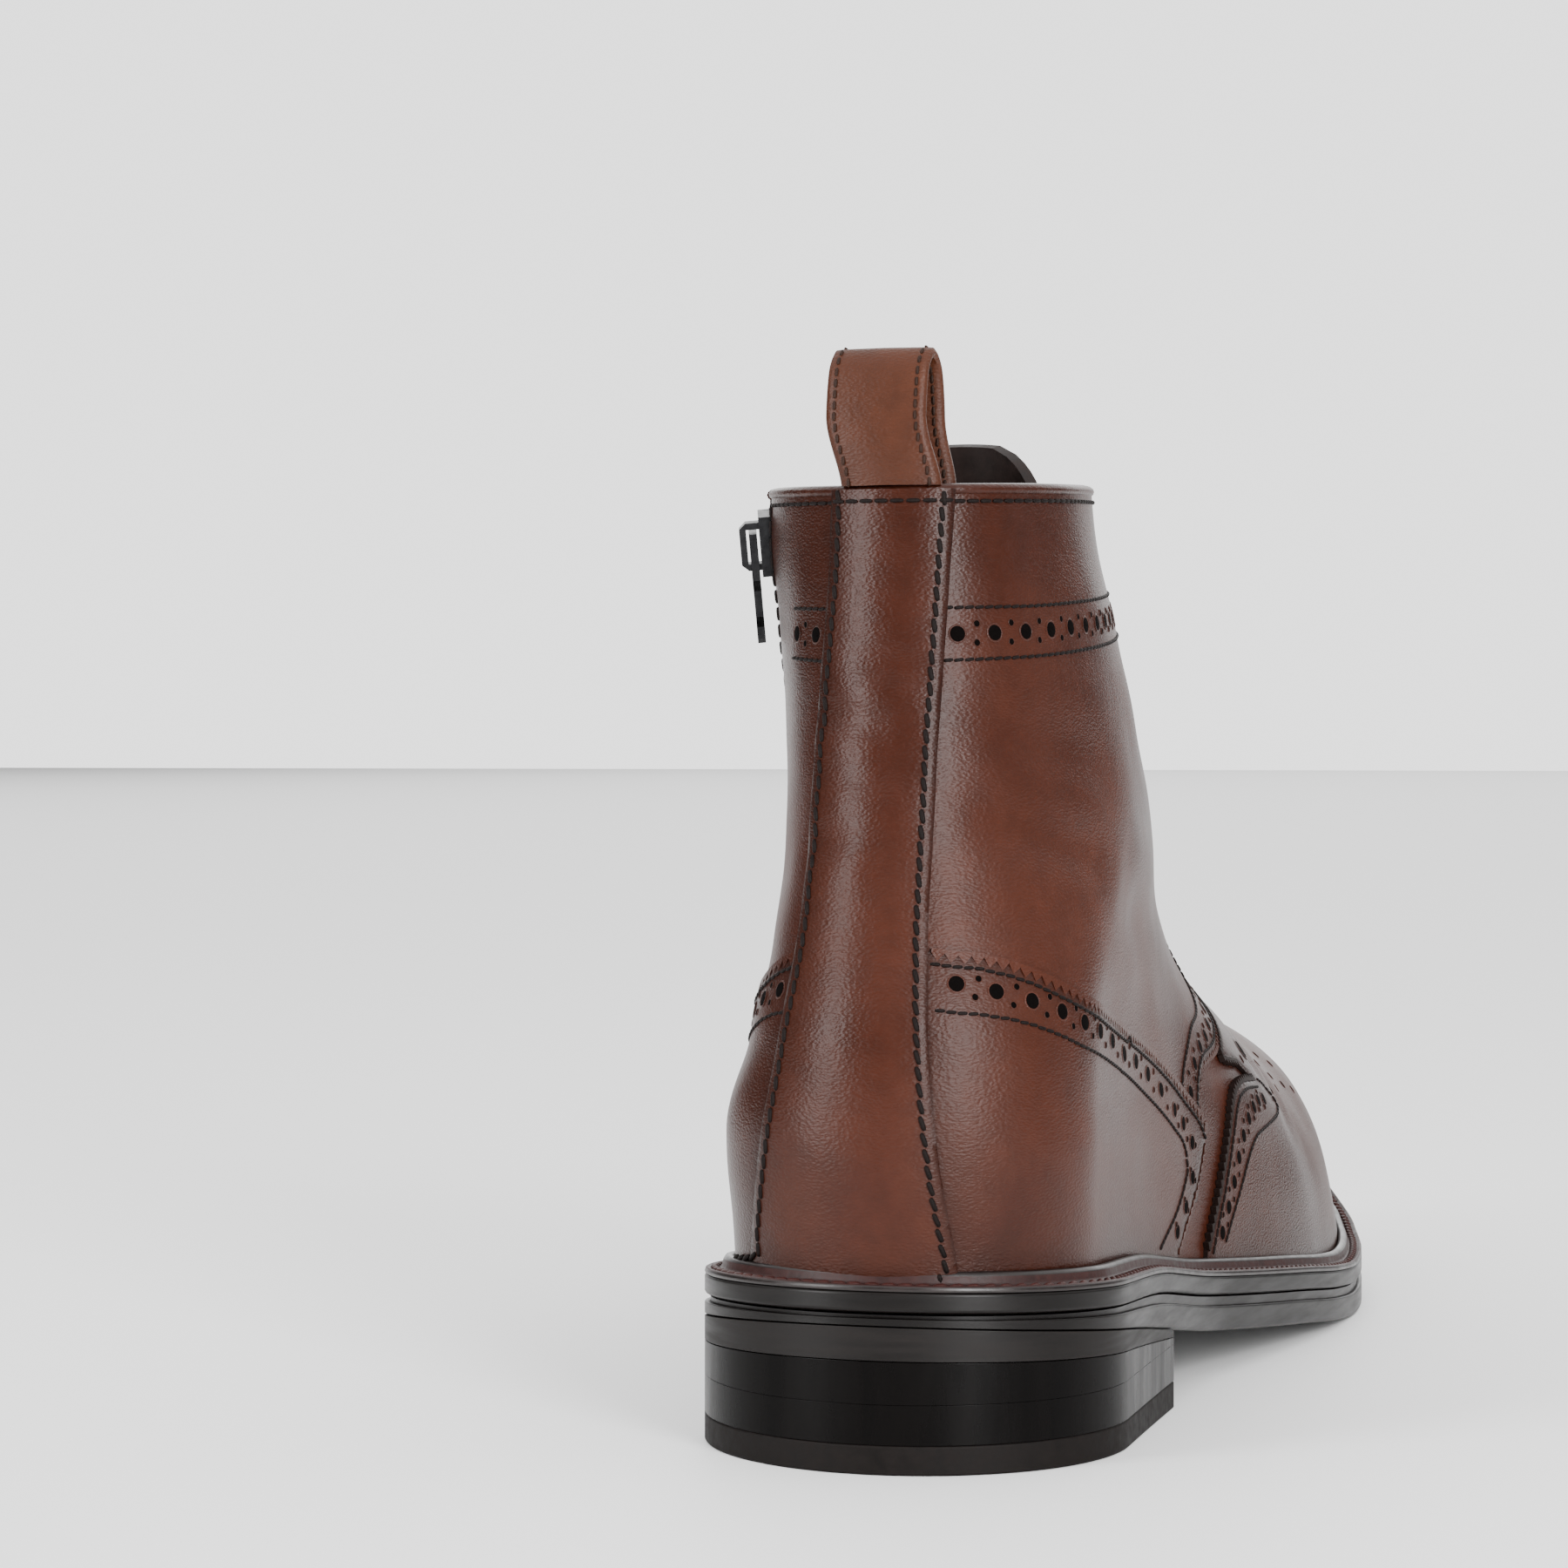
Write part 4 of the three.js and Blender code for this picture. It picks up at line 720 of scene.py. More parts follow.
upperShell = shell("vamp_and_lining", -boot["wall"], -0.9, leather, [throatField, slotField(0.0)], ["upper"])
upperShell.data.materials.append(liningLeather)
shellHalf = len(upperShell.data.vertices) // 2
for polygon in upperShell.data.polygons:
    if min(polygon.vertices) >= shellHalf:
        polygon.material_index = 1
counterOutline = counterTop + counterFront + [(-10, 12)]
quarterOutline = quarterFront + [(200, 170), (-10, 170), (-10, 20)]
wingOutline = wingRear[:-1] + wingTop + [(320, 90), (320, 5)]
panel("quarters", [polygonField(quarterOutline), throatField, slotField(0.2),
                   lambda points: points[..., 2] - feather(points[..., 1]) + 0.5],
      0.0, -0.95, leather, replaces=["facing_outer", "facing_inner"])
panel("wing_tip_cap", [polygonField(wingOutline)], 0.25, -0.95, leather, replaces=["wing_tip"])
underStrap = notField(strapField, -1.5)   # the counters end under the strap's edges
panel("counter_outer_side", [polygonField(counterOutline, side=1), underStrap],
      0.75, -0.2, leather, replaces=["counter_outer"], columns=(0.0, 1.0))
panel("counter_inner_side", [polygonField(counterOutline, side=-1), underStrap, slotField(3.4)],
      0.75, -0.2, leather, replaces=["counter_inner"], columns=(-1.0, 0.0))
panel("back_strap_leather", [strapField], 1.35, -0.2, strapLeather, replaces=["back_strap"],
      columns=(0.5, 1.5), edgeDarkening=1.4, edge=tanEdge)
print("panels cut")

# Sole, welt and heel.


def outlineLoop(inset, end=None, steps=110):
    front = length - inset if end is None else end
    turn, reach = (math.pi, 2) if end is None else (math.pi / 2, 1)
    y = inset + (front - inset) * (1 - np.cos(turn * np.arange(steps + 1) / steps)) / reach
    middle = centreline(y)
    outer = np.stack([middle + outlineHalf(y, inset, 1), y], 1)
    inner = np.stack([middle - outlineHalf(y, inset, -1), y], 1)
    return outer, inner


def plate(name, levels, material, replaces, end=None, steps=110):
    points, faces = [], []
    count = steps + 1
    for inset, height in levels:
        for line in outlineLoop(inset, end, steps):
            points += [(x, y, float(height(y))) for x, y in line]

    def at(level, inner, i):
        return level * 2 * count + inner * count + i
    last = len(levels) - 1
    for i in range(steps):
        faces.append((at(0, 0, i), at(0, 0, i + 1), at(0, 1, i + 1), at(0, 1, i)))
        faces.append((at(last, 0, i + 1), at(last, 0, i), at(last, 1, i), at(last, 1, i + 1)))
        for level in range(last):
            under = level + 1
            faces.append((at(level, 0, i), at(under, 0, i), at(under, 0, i + 1), at(level, 0, i + 1)))
            faces.append((at(level, 1, i + 1), at(under, 1, i + 1), at(under, 1, i), at(level, 1, i)))
    for level in range(last):
        under = level + 1
        faces.append((at(level, 0, steps), at(under, 0, steps), at(under, 1, steps), at(level, 1, steps)))
    points, faces = mergeSame(points, faces)
    return makeObject(name, points, faces, material, replaces=replaces)


def mergeSame(points, faces):
    keys, rename, kept = {}, [], []
    for point in points:
        key = tuple(round(float(c), 4) for c in point)
        if key not in keys:
            keys[key] = len(kept)
            kept.append(point)
        rename.append(keys[key])
    result = []
    for face in faces:
        clean = []
        for v in face:
            if rename[v] not in clean:
                clean.append(rename[v])
        if len(clean) >= 3:
            result.append(tuple(clean))
    return kept, result


def grooveTop(y):
    return outsoleTop(y) - boot["groove"] * thickShare(y)


def moved(surface, up, taper=False):   # a surface of the sole, moved up by millimetres
    return lambda y: surface(y) + up * (thickShare(y) if taper else 1)


plate("outsole_edge", [
    (boot["grooveDepth"], outsoleTop), (boot["grooveDepth"], grooveTop), (0.5, grooveTop),
    (0.12, moved(grooveTop, -0.12, True)), (0.0, moved(grooveTop, -0.4, True)),
    (0.0, moved(grooveTop, -0.6, True)), (0.0, moved(soleBottom, 0.7, True)),
    (0.0, moved(soleBottom, 0.5, True)), (0.2, moved(soleBottom, 0.2, True)), (0.8, soleBottom),
], soleEdge, ["outsole"])
plate("midsole_edge", [
    (0.7, midsoleTop), (0.2, moved(midsoleTop, -0.12)), (0.0, moved(midsoleTop, -0.4)),
    (0.0, moved(midsoleTop, -0.6)), (0.0, moved(outsoleTop, 1.0)), (0.0, moved(outsoleTop, 0.8)),
    (0.2, moved(outsoleTop, 0.5)), (0.7, moved(outsoleTop, 0.3)),
], soleEdge, ["midsole"])


def lift(name, top, bottom, material, replaces, bevel=0.3):
    plate(name, [(bevel * 2.2, top), (bevel * 0.4, moved(top, -bevel * 0.3)), (0.0, moved(top, -bevel)),
                 (0.0, moved(top, -bevel * 1.5)), (0.0, moved(bottom, bevel * 1.5)),
                 (0.0, moved(bottom, bevel)), (bevel * 0.4, moved(bottom, bevel * 0.3)),
                 (bevel * 2.2, bottom)],
          material, replaces, boot["heelLength"], 70)


liftTop = boot["topPiece"] + boot["lift"]


def seatBottom(y):
    return soleBottom(y) - 0.3 - boot["seatLift"] * (1 - boot["seatTaper"] * y / boot["heelLength"])


def level(height):   # a flat surface of the heel
    return lambda y: 0 * y + height


joint = boot["topPiece"]
lift("heel_top_piece_edge", level(joint), level(0), topPieceEdge, ["heel_top_piece"])
lift("heel_lift_lower_edge", level(liftTop), level(joint), liftEdge, ["heel_lift_lower"], 0.06)
lift("heel_lift_upper_edge", moved(seatBottom, -0.1), level(liftTop), liftEdge, ["heel_lift_upper"], 0.06)
lift("heel_seat_lift_edge", moved(soleBottom, -0.1), seatBottom, seatEdge, ["heel_seat_lift"], 0.08)


def weltRing():
    wide, rise = boot["weltWidth"], boot["weltRise"]
    profile = [   # inset from the sole's edge, and height over the midsole
        (wide - 0.3, 0.2), (wide - 0.3, rise - 0.5), (wide - 0.6, rise - 0.1), (wide * 0.8, rise),
        (wide * 0.68, rise - 0.15), (wide * 0.6, rise - 0.7), (wide * 0.56, rise * 0.45),
        (wide * 0.5, rise * 0.3), (wide * 0.34, rise * 0.2), (wide * 0.18, rise * 0.26),
        (wide * 0.1, rise * 0.34), (wide * 0.03, rise * 0.28), (0.0, 0.3), (0.1, 0.02),
    ]
    rings = []
    for inset, up in profile:
        outer, inner = outlineLoop(inset, None, 130)
        loop = np.concatenate([outer, inner[1:-1][::-1]])
        rings.append(np.column_stack([loop, midsoleTop(loop[:, 1]) + up]))
    count = len(rings[0])
    faces = []
    for level in range(len(rings)):
        following = (level + 1) % len(rings)
        for i in range(count):
            k = (i + 1) % count
            faces.append((level * count + i, following * count + i, following * count + k, level * count + k))
    obj = makeObject("storm_welt", np.concatenate(rings), faces, weltLeather, replaces=["welt"])
    obj.data.materials.append(channelLeather)
    for polygon in obj.data.polygons:
        if 5 <= min(polygon.vertices) // count <= 10 and max(polygon.vertices) // count <= 11:
            polygon.material_index = 1


weltRing()
print("sole built")

# Small things that repeat, set along the seams by geometry nodes.


def scatterTree(name):
    tree = bpy.data.node_groups.new(name, "GeometryNodeTree")
    socket = tree.interface.new_socket
    socket(name="Points", in_out="INPUT", socket_type="NodeSocketGeometry")
    inputs = {
        "shape": socket(name="Shape", in_out="INPUT", socket_type="NodeSocketObject"),
        "finish": socket(name="Finish", in_out="INPUT", socket_type="NodeSocketMaterial"),
    }
    socket(name="Pieces", in_out="OUTPUT", socket_type="NodeSocketGeometry")
    new, link = tree.nodes.new, tree.links.new
    start, end = new("NodeGroupInput"), new("NodeGroupOutput")
    shape = new("GeometryNodeObjectInfo")
    link(start.outputs["Shape"], shape.inputs["Object"])
    attributes = {}
    for key in ("along", "face", "stretch"):
        node = new("GeometryNodeInputNamedAttribute")
        node.data_type = "FLOAT_VECTOR"
        node.inputs["Name"].default_value = key
        attributes[key] = node.outputs["Attribute"]
    upright = new("FunctionNodeAlignRotationToVector")
    upright.axis = "Z"
    link(attributes["face"], upright.inputs["Vector"])
    turned = new("FunctionNodeAlignRotationToVector")
    turned.axis, turned.pivot_axis = "X", "Z"
    link(upright.outputs["Rotation"], turned.inputs["Rotation"])
    link(attributes["along"], turned.inputs["Vector"])
    instance = new("GeometryNodeInstanceOnPoints")
    link(start.outputs["Points"], instance.inputs["Points"])
    link(shape.outputs["Geometry"], instance.inputs["Instance"])
    link(turned.outputs["Rotation"], instance.inputs["Rotation"])
    link(attributes["stretch"], instance.inputs["Scale"])
    realize, paint = new("GeometryNodeRealizeInstances"), new("GeometryNodeSetMaterial")
    link(instance.outputs["Instances"], realize.inputs["Geometry"])
    link(realize.outputs["Geometry"], paint.inputs["Geometry"])
    link(start.outputs["Finish"], paint.inputs["Material"])
    link(paint.outputs["Geometry"], end.inputs["Pieces"])
    return tree, {key: item.identifier for key, item in inputs.items()}


scatterGroup, scatterSockets = scatterTree("Set along a seam")


def lathe(profile, sides):   # a turned shape in millimetres, from pairs of radius and height
    points, faces = [], []
    for radius, height in profile:
        for k in range(sides):
            angle = 2 * math.pi * k / sides
            points.append((radius * math.cos(angle), radius * math.sin(angle), height))
    for level in range(len(profile) - 1):
        for k in range(sides):
            m = (k + 1) % sides
            low, high = level * sides, (level + 1) * sides
            faces.append((low + k, low + m, high + m, high + k))
    return points, faces


def prototype(name, points, faces, flat=False):
    mesh = bpy.data.meshes.new(name)
    mesh.from_pydata([tuple(c / 1000 for c in point) for point in points], [], faces)
    mesh.update()
    if not flat:
        mesh.shade_smooth()
    obj = bpy.data.objects.new(name, mesh)
    bpy.context.scene.collection.objects.link(obj)
    return obj


def scatter(name, shape, material, spots, replaces=()):
    # spots: places, directions along, directions out and stretches, in millimetres
    places, along, out, stretch = (np.asarray(v, float) for v in spots)
    mesh = bpy.data.meshes.new(name)
    mesh.from_pydata(((places + shift) / 1000).tolist(), [], [])
    for key, values in (("along", along), ("face", out), ("stretch", stretch)):
        attribute = mesh.attributes.new(key, "FLOAT_VECTOR", "POINT")
        attribute.data.foreach_set("vector", values.astype(np.float32).ravel())
    obj = bpy.data.objects.new(name, mesh)
    bpy.context.scene.collection.objects.link(obj)
    modifier = obj.modifiers.new("Scatter", "NODES")
    modifier.node_group = scatterGroup
    modifier[scatterSockets["shape"]] = shape
    modifier[scatterSockets["finish"]] = material
    bpy.context.view_layer.update()
    graph = bpy.context.evaluated_depsgraph_get()
    result = bpy.data.meshes.new_from_object(obj.evaluated_get(graph))
    obj.modifiers.remove(modifier)
    obj.data = result
    result.name = name
    if not result.materials:
        result.materials.append(material)
    finish(obj, "boot", replaces)


# A stitch is a short rounded bar that lies in the leather; length along X, standing out along Z.
stitchProfile = [(0.02, -1.0), (0.28, -0.86), (0.36, -0.45), (0.36, 0.45), (0.28, 0.86), (0.02, 1.0)]
stitchShape = prototype("stitch_shape", *lathe(stitchProfile, 6))
stitchShape.data.transform(Matrix.Rotation(math.pi / 2, 4, "Y"))
# A punched hole is a flat disc laid on the leather and coloured as painted shade, with a leather rim round
# it.
holeShadeShape = prototype("hole_shape", *lathe([(1.0, -0.04), (0.92, 0.03), (0.5, 0.055), (0.001, 0.06)], 20))
rimShape = prototype("rim_shape", *lathe([(0.93, -0.03), (0.99, 0.05), (1.07, 0.06), (1.18, -0.04)], 20))
toothEdge = [(-1, -0.5), (1, -0.5), (1, 0), (0, 1), (-1, 0)]   # one point of the pinked edge, seen from above
toothFaces = [(0, 1, 2, 3, 4), (9, 8, 7, 6, 5), (1, 0, 5, 6), (2, 1, 6, 7), (3, 2, 7, 8), (4, 3, 8, 9),
              (0, 4, 9, 5)]
toothShape = prototype("tooth_shape", [(x, y, z) for z in (0, -1) for x, y in toothEdge], toothFaces, True)


def denseLine(controls, axes, where, height=0.0, spacing=0.6):   # a smooth line through given places
    controls = np.asarray(controls, float)
    run = runAlong(controls)
    rows = {"at": run, "first": controls[:, 0], "second": controls[:, 1]}
    knots = np.linspace(0, run[-1], max(4, int(run[-1] / 3)))
    targets = np.stack([readColumn(rows, column, knots) for column in ("first", "second")], 1)
    params = locate(targets, axes, where)
    params[:, 1] = np.where((axes[0] == 0) & (params[:, 1] < 0), params[:, 1] + 2, params[:, 1])
    t = np.linspace(0, run[-1], max(8, int(run[-1] / spacing)))
    return np.interp(t, knots, params[:, 0]), np.interp(t, knots, params[:, 1]), height


def runAlong(places):   # the distance along a line at each of its places
    return np.concatenate([[0], np.cumsum(np.linalg.norm(np.diff(places, axis=0), axis=1))])


def readAlong(steps, run, values):
    return np.stack([np.interp(steps, run, values[:, k]) for k in range(3)], 1)


def walk(line, pitch, steps=None):   # steps along a line: places, directions along and normals
    p, q, height = line
    places, normal = onSkin(p, q, np.zeros_like(p) + height)
    run = runAlong(places)
    if steps is None:
        steps = np.arange(pitch * 0.5, run[-1], pitch)
    steps = np.minimum(steps, run[-1] - 0.5)
    at, out = readAlong(steps, run, places), readAlong(steps, run, normal)
    ahead = readAlong(steps + 1, run, places) - readAlong(steps - 1, run, places)
    ahead /= np.maximum(np.linalg.norm(ahead, axis=1, keepdims=True), 1e-9)
    out /= np.linalg.norm(out, axis=1, keepdims=True)
    return at, ahead, out


def joinSpots(parts, aroundZip=True):   # all spots together, but for those that would lie in the zip
    spots = [np.concatenate([part[k] for part in parts]) for k in range(4)]
    keep = slotField(3.6)(spots[0]) > 0 if aroundZip else np.ones(len(spots[0]), bool)
    return tuple(values[keep] for values in spots)


def withStretch(spots, stretch):
    return (*spots, np.tile(np.asarray(stretch, float), (len(spots[0]), 1)))


def shiftLine(line, away):   # the same line moved across the skin, by millimetres to its left
    p, q, height = line
    places, normal = onSkin(p, q)
    ahead = np.gradient(places, axis=0)
    ahead /= np.linalg.norm(ahead, axis=1, keepdims=True)
    across = np.cross(normal, ahead)
    step = 1e-3
    dp = (onSkin(np.clip(p + step, 0, 1), q)[0] - places) / step
    dq = (onSkin(p, q + step)[0] - places) / step
    moved = []
    for k in range(len(p)):
        matrix = np.stack([dp[k], dq[k]], 1)
        moved.append(np.linalg.lstsq(matrix, across[k] * away, rcond=None)[0])
    moved = np.array(moved)
    return p + np.clip(moved[:, 0], -0.05, 0.05), q + np.clip(moved[:, 1], -0.15, 0.15), height


stitchSpots, teethSpots, darkTeeth, bigHoles, smallHoles = [], [], [], [], []
stitchPitch = 1.75


def stitchLine(line, pitch=stitchPitch, wide=0.8, slant=0.1):
    at, ahead, out = walk(line, pitch)
    slanted = ahead + np.cross(out, ahead) * slant
    stitchSpots.append(withStretch((at, slanted, out), (pitch * 0.47, wide, wide)))


punch = {"large": 1.3, "small": 0.52, "apart": 3.0}   # radii of the holes, and between the two small rows


def brogueBand(line, pitch, start=0.5, wider=(0, 0, 0.0)):
    # wider: where along the line the holes lie further apart, and by how much
    total = runAlong(onSkin(line[0], line[1])[0])[-1]
    steps, sizes, at = [], [], pitch * start
    while at < total - 0.8:
        inside = smooth(at, wider[0], wider[0] + 15) * (1 - smooth(at, wider[1] - 15, wider[1]))
        more = wider[2] * float(inside)
        steps.append(at)
        sizes.append(1 + 0.1 * more)
        at += pitch + more
    steps, sizes = np.array(steps), np.array(sizes)
    ones = np.ones_like(sizes)
    large, small = punch["large"], punch["small"]
    bigHoles.append((*walk(line, 0, steps), np.stack([large * sizes, large * ones, ones], 1)))
    between = (steps[:-1] + steps[1:]) / 2
    between = np.concatenate([[steps[0] - pitch / 2], between]) if steps[0] > pitch * 0.55 else between
    for away in (punch["apart"] / 2, -punch["apart"] / 2):
        spots = walk(shiftLine(line, away), 0, between)
        smallHoles.append(withStretch(spots, (small, small, 1)))


def pinking(line, pitch=2.0, depth=1.0, thick=0.9, flip=1, store=teethSpots):
    at, ahead, out = walk(line, pitch)
    store.append(withStretch((at, ahead * flip, out), (pitch / 2, depth, thick)))


skinTop = 0.05
strapTop, counterLift, wingLift = 1.38, 0.78, 0.28
zs = np.array([24, 34, 45, 58, 70, 82, 96, 110, 124, 136, 149.6])
for column, inward in (("left", 1.7), ("right", -1.7)):
    xs = ankle * readColumn(strapEdges, column, zs / collar) + inward
    line = denseLine(np.stack([xs, zs], 1), backAxes, backHalf, strapTop)
    stitchLine(line, 2.5, 1.2, 0.22)

for side, where in ((1, outerHalf), (-1, innerHalf)):
    def sideDense(points, height):
        return denseLine(points, sideAxes, where, height)

    bandTop = [(18.4 if side > 0 else 20.6, 131.6), (30, 132.1), (45, 133.2), (60, 134.3), (75, 135.4),
               (90, 136.6), (101, 137.6)]
    bandLow = [(17.6 if side > 0 else 20.6, 123.4), (30, 124.2), (45, 125.5), (60, 126.8), (75, 128.1),
               (90, 129.5), (104, 130.6)]
    bandMid = [((a[0] + b[0]) / 2, (a[1] + b[1]) / 2) for a, b in zip(bandTop, bandLow)]
    runs = [slice(0, 7)] if side > 0 else [slice(0, 3), slice(3, 7)]
    for run in runs:
        cutTop, cutLow, cutMid = bandTop[run], bandLow[run], bandMid[run]
        if side < 0 and run.start == 0:
            cutTop, cutLow, cutMid = ([p for p in pts if p[0] < 44] for pts in (cutTop, cutLow, cutMid))
        stitchLine(sideDense(cutTop, skinTop))
        stitchLine(sideDense(cutLow, skinTop))
        brogueBand(sideDense(cutMid, skinTop + 0.02), 6.6, start=0.56)

    topLine = sideDense(counterTop[2:], counterLift)
    stitchLine(shiftLine(topLine, -1.9 * side))
    stitchLine(sideDense(counterLow, counterLift))
    brogueBand(sideDense(counterHoles, counterLift + 0.03), 6.5, start=0.1, wider=(22, 100, 4.5))
    pinking(topLine, 2.1, 1.35, 0.9, -side)
    pinking(sideDense(counterFront[:-1], counterLift), 1.9, 0.5, 0.9, -side)

    frontLine = sideDense(quarterFront[1:-2], 0.0)
    pinking(frontLine, 1.9, 0.9, 0.9, side)
    stitchLine(shiftLine(frontLine, 1.7 * side))
    backStitch = [(104.5, 49.6), (106.8, 52.8), (113.5, 57.2), (120.5, 60), (131.3, 61.8), (141, 66),
                  (145.5, 73), (143, 82), (134, 92)]
    stitchLine(sideDense(backStitch, skinTop))
    bandRun = [(108.6, 45.6), (110.2, 50.0), (116, 54.0), (124, 56.6), (134, 58.3), (146, 62.4),
               (153.5, 69.0)]
    brogueBand(sideDense(bandRun, skinTop + 0.02), 7.6)

    rearLine = sideDense(wingRear[1:], wingLift)
    pinking(rearLine, 1.8, 1.0, 1.1, side, darkTeeth)
    stitchLine(shiftLine(rearLine, -1.8 * side))
    frontStitch = [(121.5, 21.6), (133.7, 32.5), (139.3, 36.2), (144.8, 38.5), (158.3, 39.8), (166.1, 40.4),
                   (171.1, 42.0), (167.5, 45.2), (160.5, 47.4)]
    stitchLine(sideDense(frontStitch, wingLift))
    wingHoles = [(119.5, 22.6), (123.1, 26.6), (128.6, 32.6), (133.5, 37.4), (138.9, 41.0), (144.2, 43.0),
                 (151.4, 44.2), (160, 43.8)]
    brogueBand(sideDense(wingHoles, wingLift + 0.03), 5.6, start=0.2)
    topEdge = sideDense(wingTop[1:-1], wingLift)
    pinking(topEdge, 1.8, 0.9, 1.0, side, darkTeeth)
print("seams laid out")

# Toe medallion, collar and pull loop.


def atTop(pairs):   # places on the toe, as y and millimetres across from the middle
    result = []
    for y, x in pairs:
        near = np.argmin(np.sum((skin[..., :2] - np.array([x + skinCentre(y, ridgeHeight(y)), y])) ** 2, -1)
                         + np.where(skin[..., 2] < 36, 1e6, 0))
        i, j = np.unravel_index(near, skin.shape[:2])
        result.append((rowShares[i], columnShares[j]))
    return np.array(result)


def spotsAt(params, height, radius):
    places, out = onSkin(params[:, 0], params[:, 1], np.zeros(len(params)) + height)
    along = np.tile([0.0, 1.0, 0.0], (len(params), 1))
    return withStretch((places, along, out), (radius, radius, 1))


medallionSides = [
    (199.5, 51.0), (210.1, 47.9), (167.7, 50.2), (156.0, 51.4), (217.6, 45.6), (189.2, 48.0), (178.0, 48.6),
    (200.1, 44.6), (190.0, 43.2), (209.0, 42.2), (180.0, 43.6), (219.0, 40.4),
]
for where in (outerHalf, innerHalf):
    bigHoles.append(spotsAt(locate([(163, 52.6)], sideAxes, where), wingLift + 0.03, 2.0))
    smallHoles.append(spotsAt(locate(medallionSides, sideAxes, where), wingLift + 0.03, 0.85))
bigHoles.append(spotsAt(atTop([(178, 0), (205, 0), (229, 0)]), wingLift + 0.03, 1.5))
smallHoles.append(spotsAt(atTop([(191, 0), (217, 0), (241, 0), (236, 9), (236, -9)]), wingLift + 0.03, 0.8))

scatter("stitches", stitchShape, thread, joinSpots(stitchSpots))
scatter("pinked_edges", toothShape, leather, joinSpots(teethSpots))
scatter("wing_pinked_edges", toothShape, cutEdge, joinSpots(darkTeeth))
holes = joinSpots([*bigHoles, *smallHoles])
# The holes are discs of painted shade on the leather, each with a leather rim.
scatter("punched_holes", holeShadeShape, holeShade, holes)
scatter("hole_rims", rimShape, leather, holes)


def binding(name, centres, wide, tall, material, sides=12):   # a round strip along the collar's edge
    ahead = np.gradient(centres, axis=0)
    ahead /= np.linalg.norm(ahead, axis=1, keepdims=True)
    points, faces = [], []
    side = np.cross(ahead[0], (0, 0, 1))
    for k, centre in enumerate(centres):
        side = side - ahead[k] * np.dot(side, ahead[k])
        side /= np.linalg.norm(side)
        other = np.cross(ahead[k], side)
        for m in range(sides):
            angle = 2 * math.pi * m / sides
            points.append(centre + side * wide * math.cos(angle) + other * tall * math.sin(angle))
    for k in range(len(centres) - 1):
        for m in range(sides):
            n = (m + 1) % sides
            faces.append((k * sides + m, k * sides + n, (k + 1) * sides + n, (k + 1) * sides + m))
    faces.append(tuple(reversed(range(sides))))
    faces.append(tuple(range((len(centres) - 1) * sides, len(centres) * sides)))
    makeObject(name, points, faces, material)


def collarRun(qStart, qEnd):
    q = np.linspace(qStart, qEnd, max(12, int(abs(qEnd - qStart) * 150)))
    return onSkin(np.ones_like(q), q, np.zeros_like(q) - 0.9)[0]


def columnWhere(test, guess):   # the column on the top ring where a test first holds
    q = np.linspace(*guess, 400)
    points = onSkin(np.ones_like(q), q)[0]
    return q[np.argmax([test(point) for point in points])]


outerThroat = columnWhere(lambda v: v[0] > skinCentre(ridgeFront(154), 154) + 9.3, (0, 1))
innerThroat = columnWhere(lambda v: v[0] < skinCentre(ridgeFront(154), 154) - 9.3, (0, -1))
slotFront = columnWhere(lambda v: v[1] < zipY(151) + 3.9, (-0.2, -1))
slotBack = columnWhere(lambda v: v[1] < zipY(151) - 3.9, (-0.2, -1))
binding("collar_binding_back", collarRun(outerThroat, 2 + slotBack), 1.35, 1.0, leather)
binding("collar_binding_front", collarRun(innerThroat, slotFront), 1.35, 1.0, leather)
q = np.linspace(outerThroat + 0.01, 2 + slotBack - 0.01, 300)
drop = np.linalg.norm(onSkin(np.ones_like(q), q)[0] - onSkin(np.ones_like(q) - 0.02, q)[0], axis=1)
collarLine = (1 - 0.02 * 1.9 / drop, q, 0.12)
at, ahead, out = walk(collarLine, 2.4)
overStrap = strapField(at) > 0
at = at + out * np.where(overStrap, 1.35, 0)[:, None]
scatter("collar_stitches", stitchShape, thread, withStretch((at, ahead, out), (1.1, 0.95, 0.95)))

loop = {
    "width": 16.0, "thickness": 1.8, "shift": -1.0, "edge": 1.5, "lean": -2.3, "turn": 0.09, "pitch": 1.75,
}
loopRows = {   # its middle line: forward of the back line and above the collar, and its rounding radius
    "at": list(range(10)),
    "forward": [-0.3, -0.5, 0.3, 2.0, 5.0, 8.2, 9.4, 8.0, 6.2, 5.0],
    "up": [0.6, 6.0, 13.4, 19.4, 21.7, 19.2, 11.6, 3.0, -4.0, -14.0],
    "round": [16, 26, 60, 120, 200, 120, 60, 30, 19, 17],
}


def loopPoint(t, x, off):
    dt = 0.02
    forward, up = readColumn(loopRows, "forward", t), readColumn(loopRows, "up", t)
    run = np.array([readColumn(loopRows, "forward", t + dt) - readColumn(loopRows, "forward", t - dt),
                    readColumn(loopRows, "up", t + dt) - readColumn(loopRows, "up", t - dt)])
    run = run / np.linalg.norm(run)
    bend = x * x / (2 * readColumn(loopRows, "round", t))
    y = float(backLine(collar)) + forward + bend - run[1] * off
    z = collar + up + run[0] * off
    lean = loop["lean"] * float(smooth(up, 0, 12)) + loop["turn"] * max(0.0, float(forward))
    place = np.array([x + loop["shift"] + lean, y, z])
    return place, np.array([0.0, run[0], run[1]]), np.array([0.0, -run[1], run[0]])


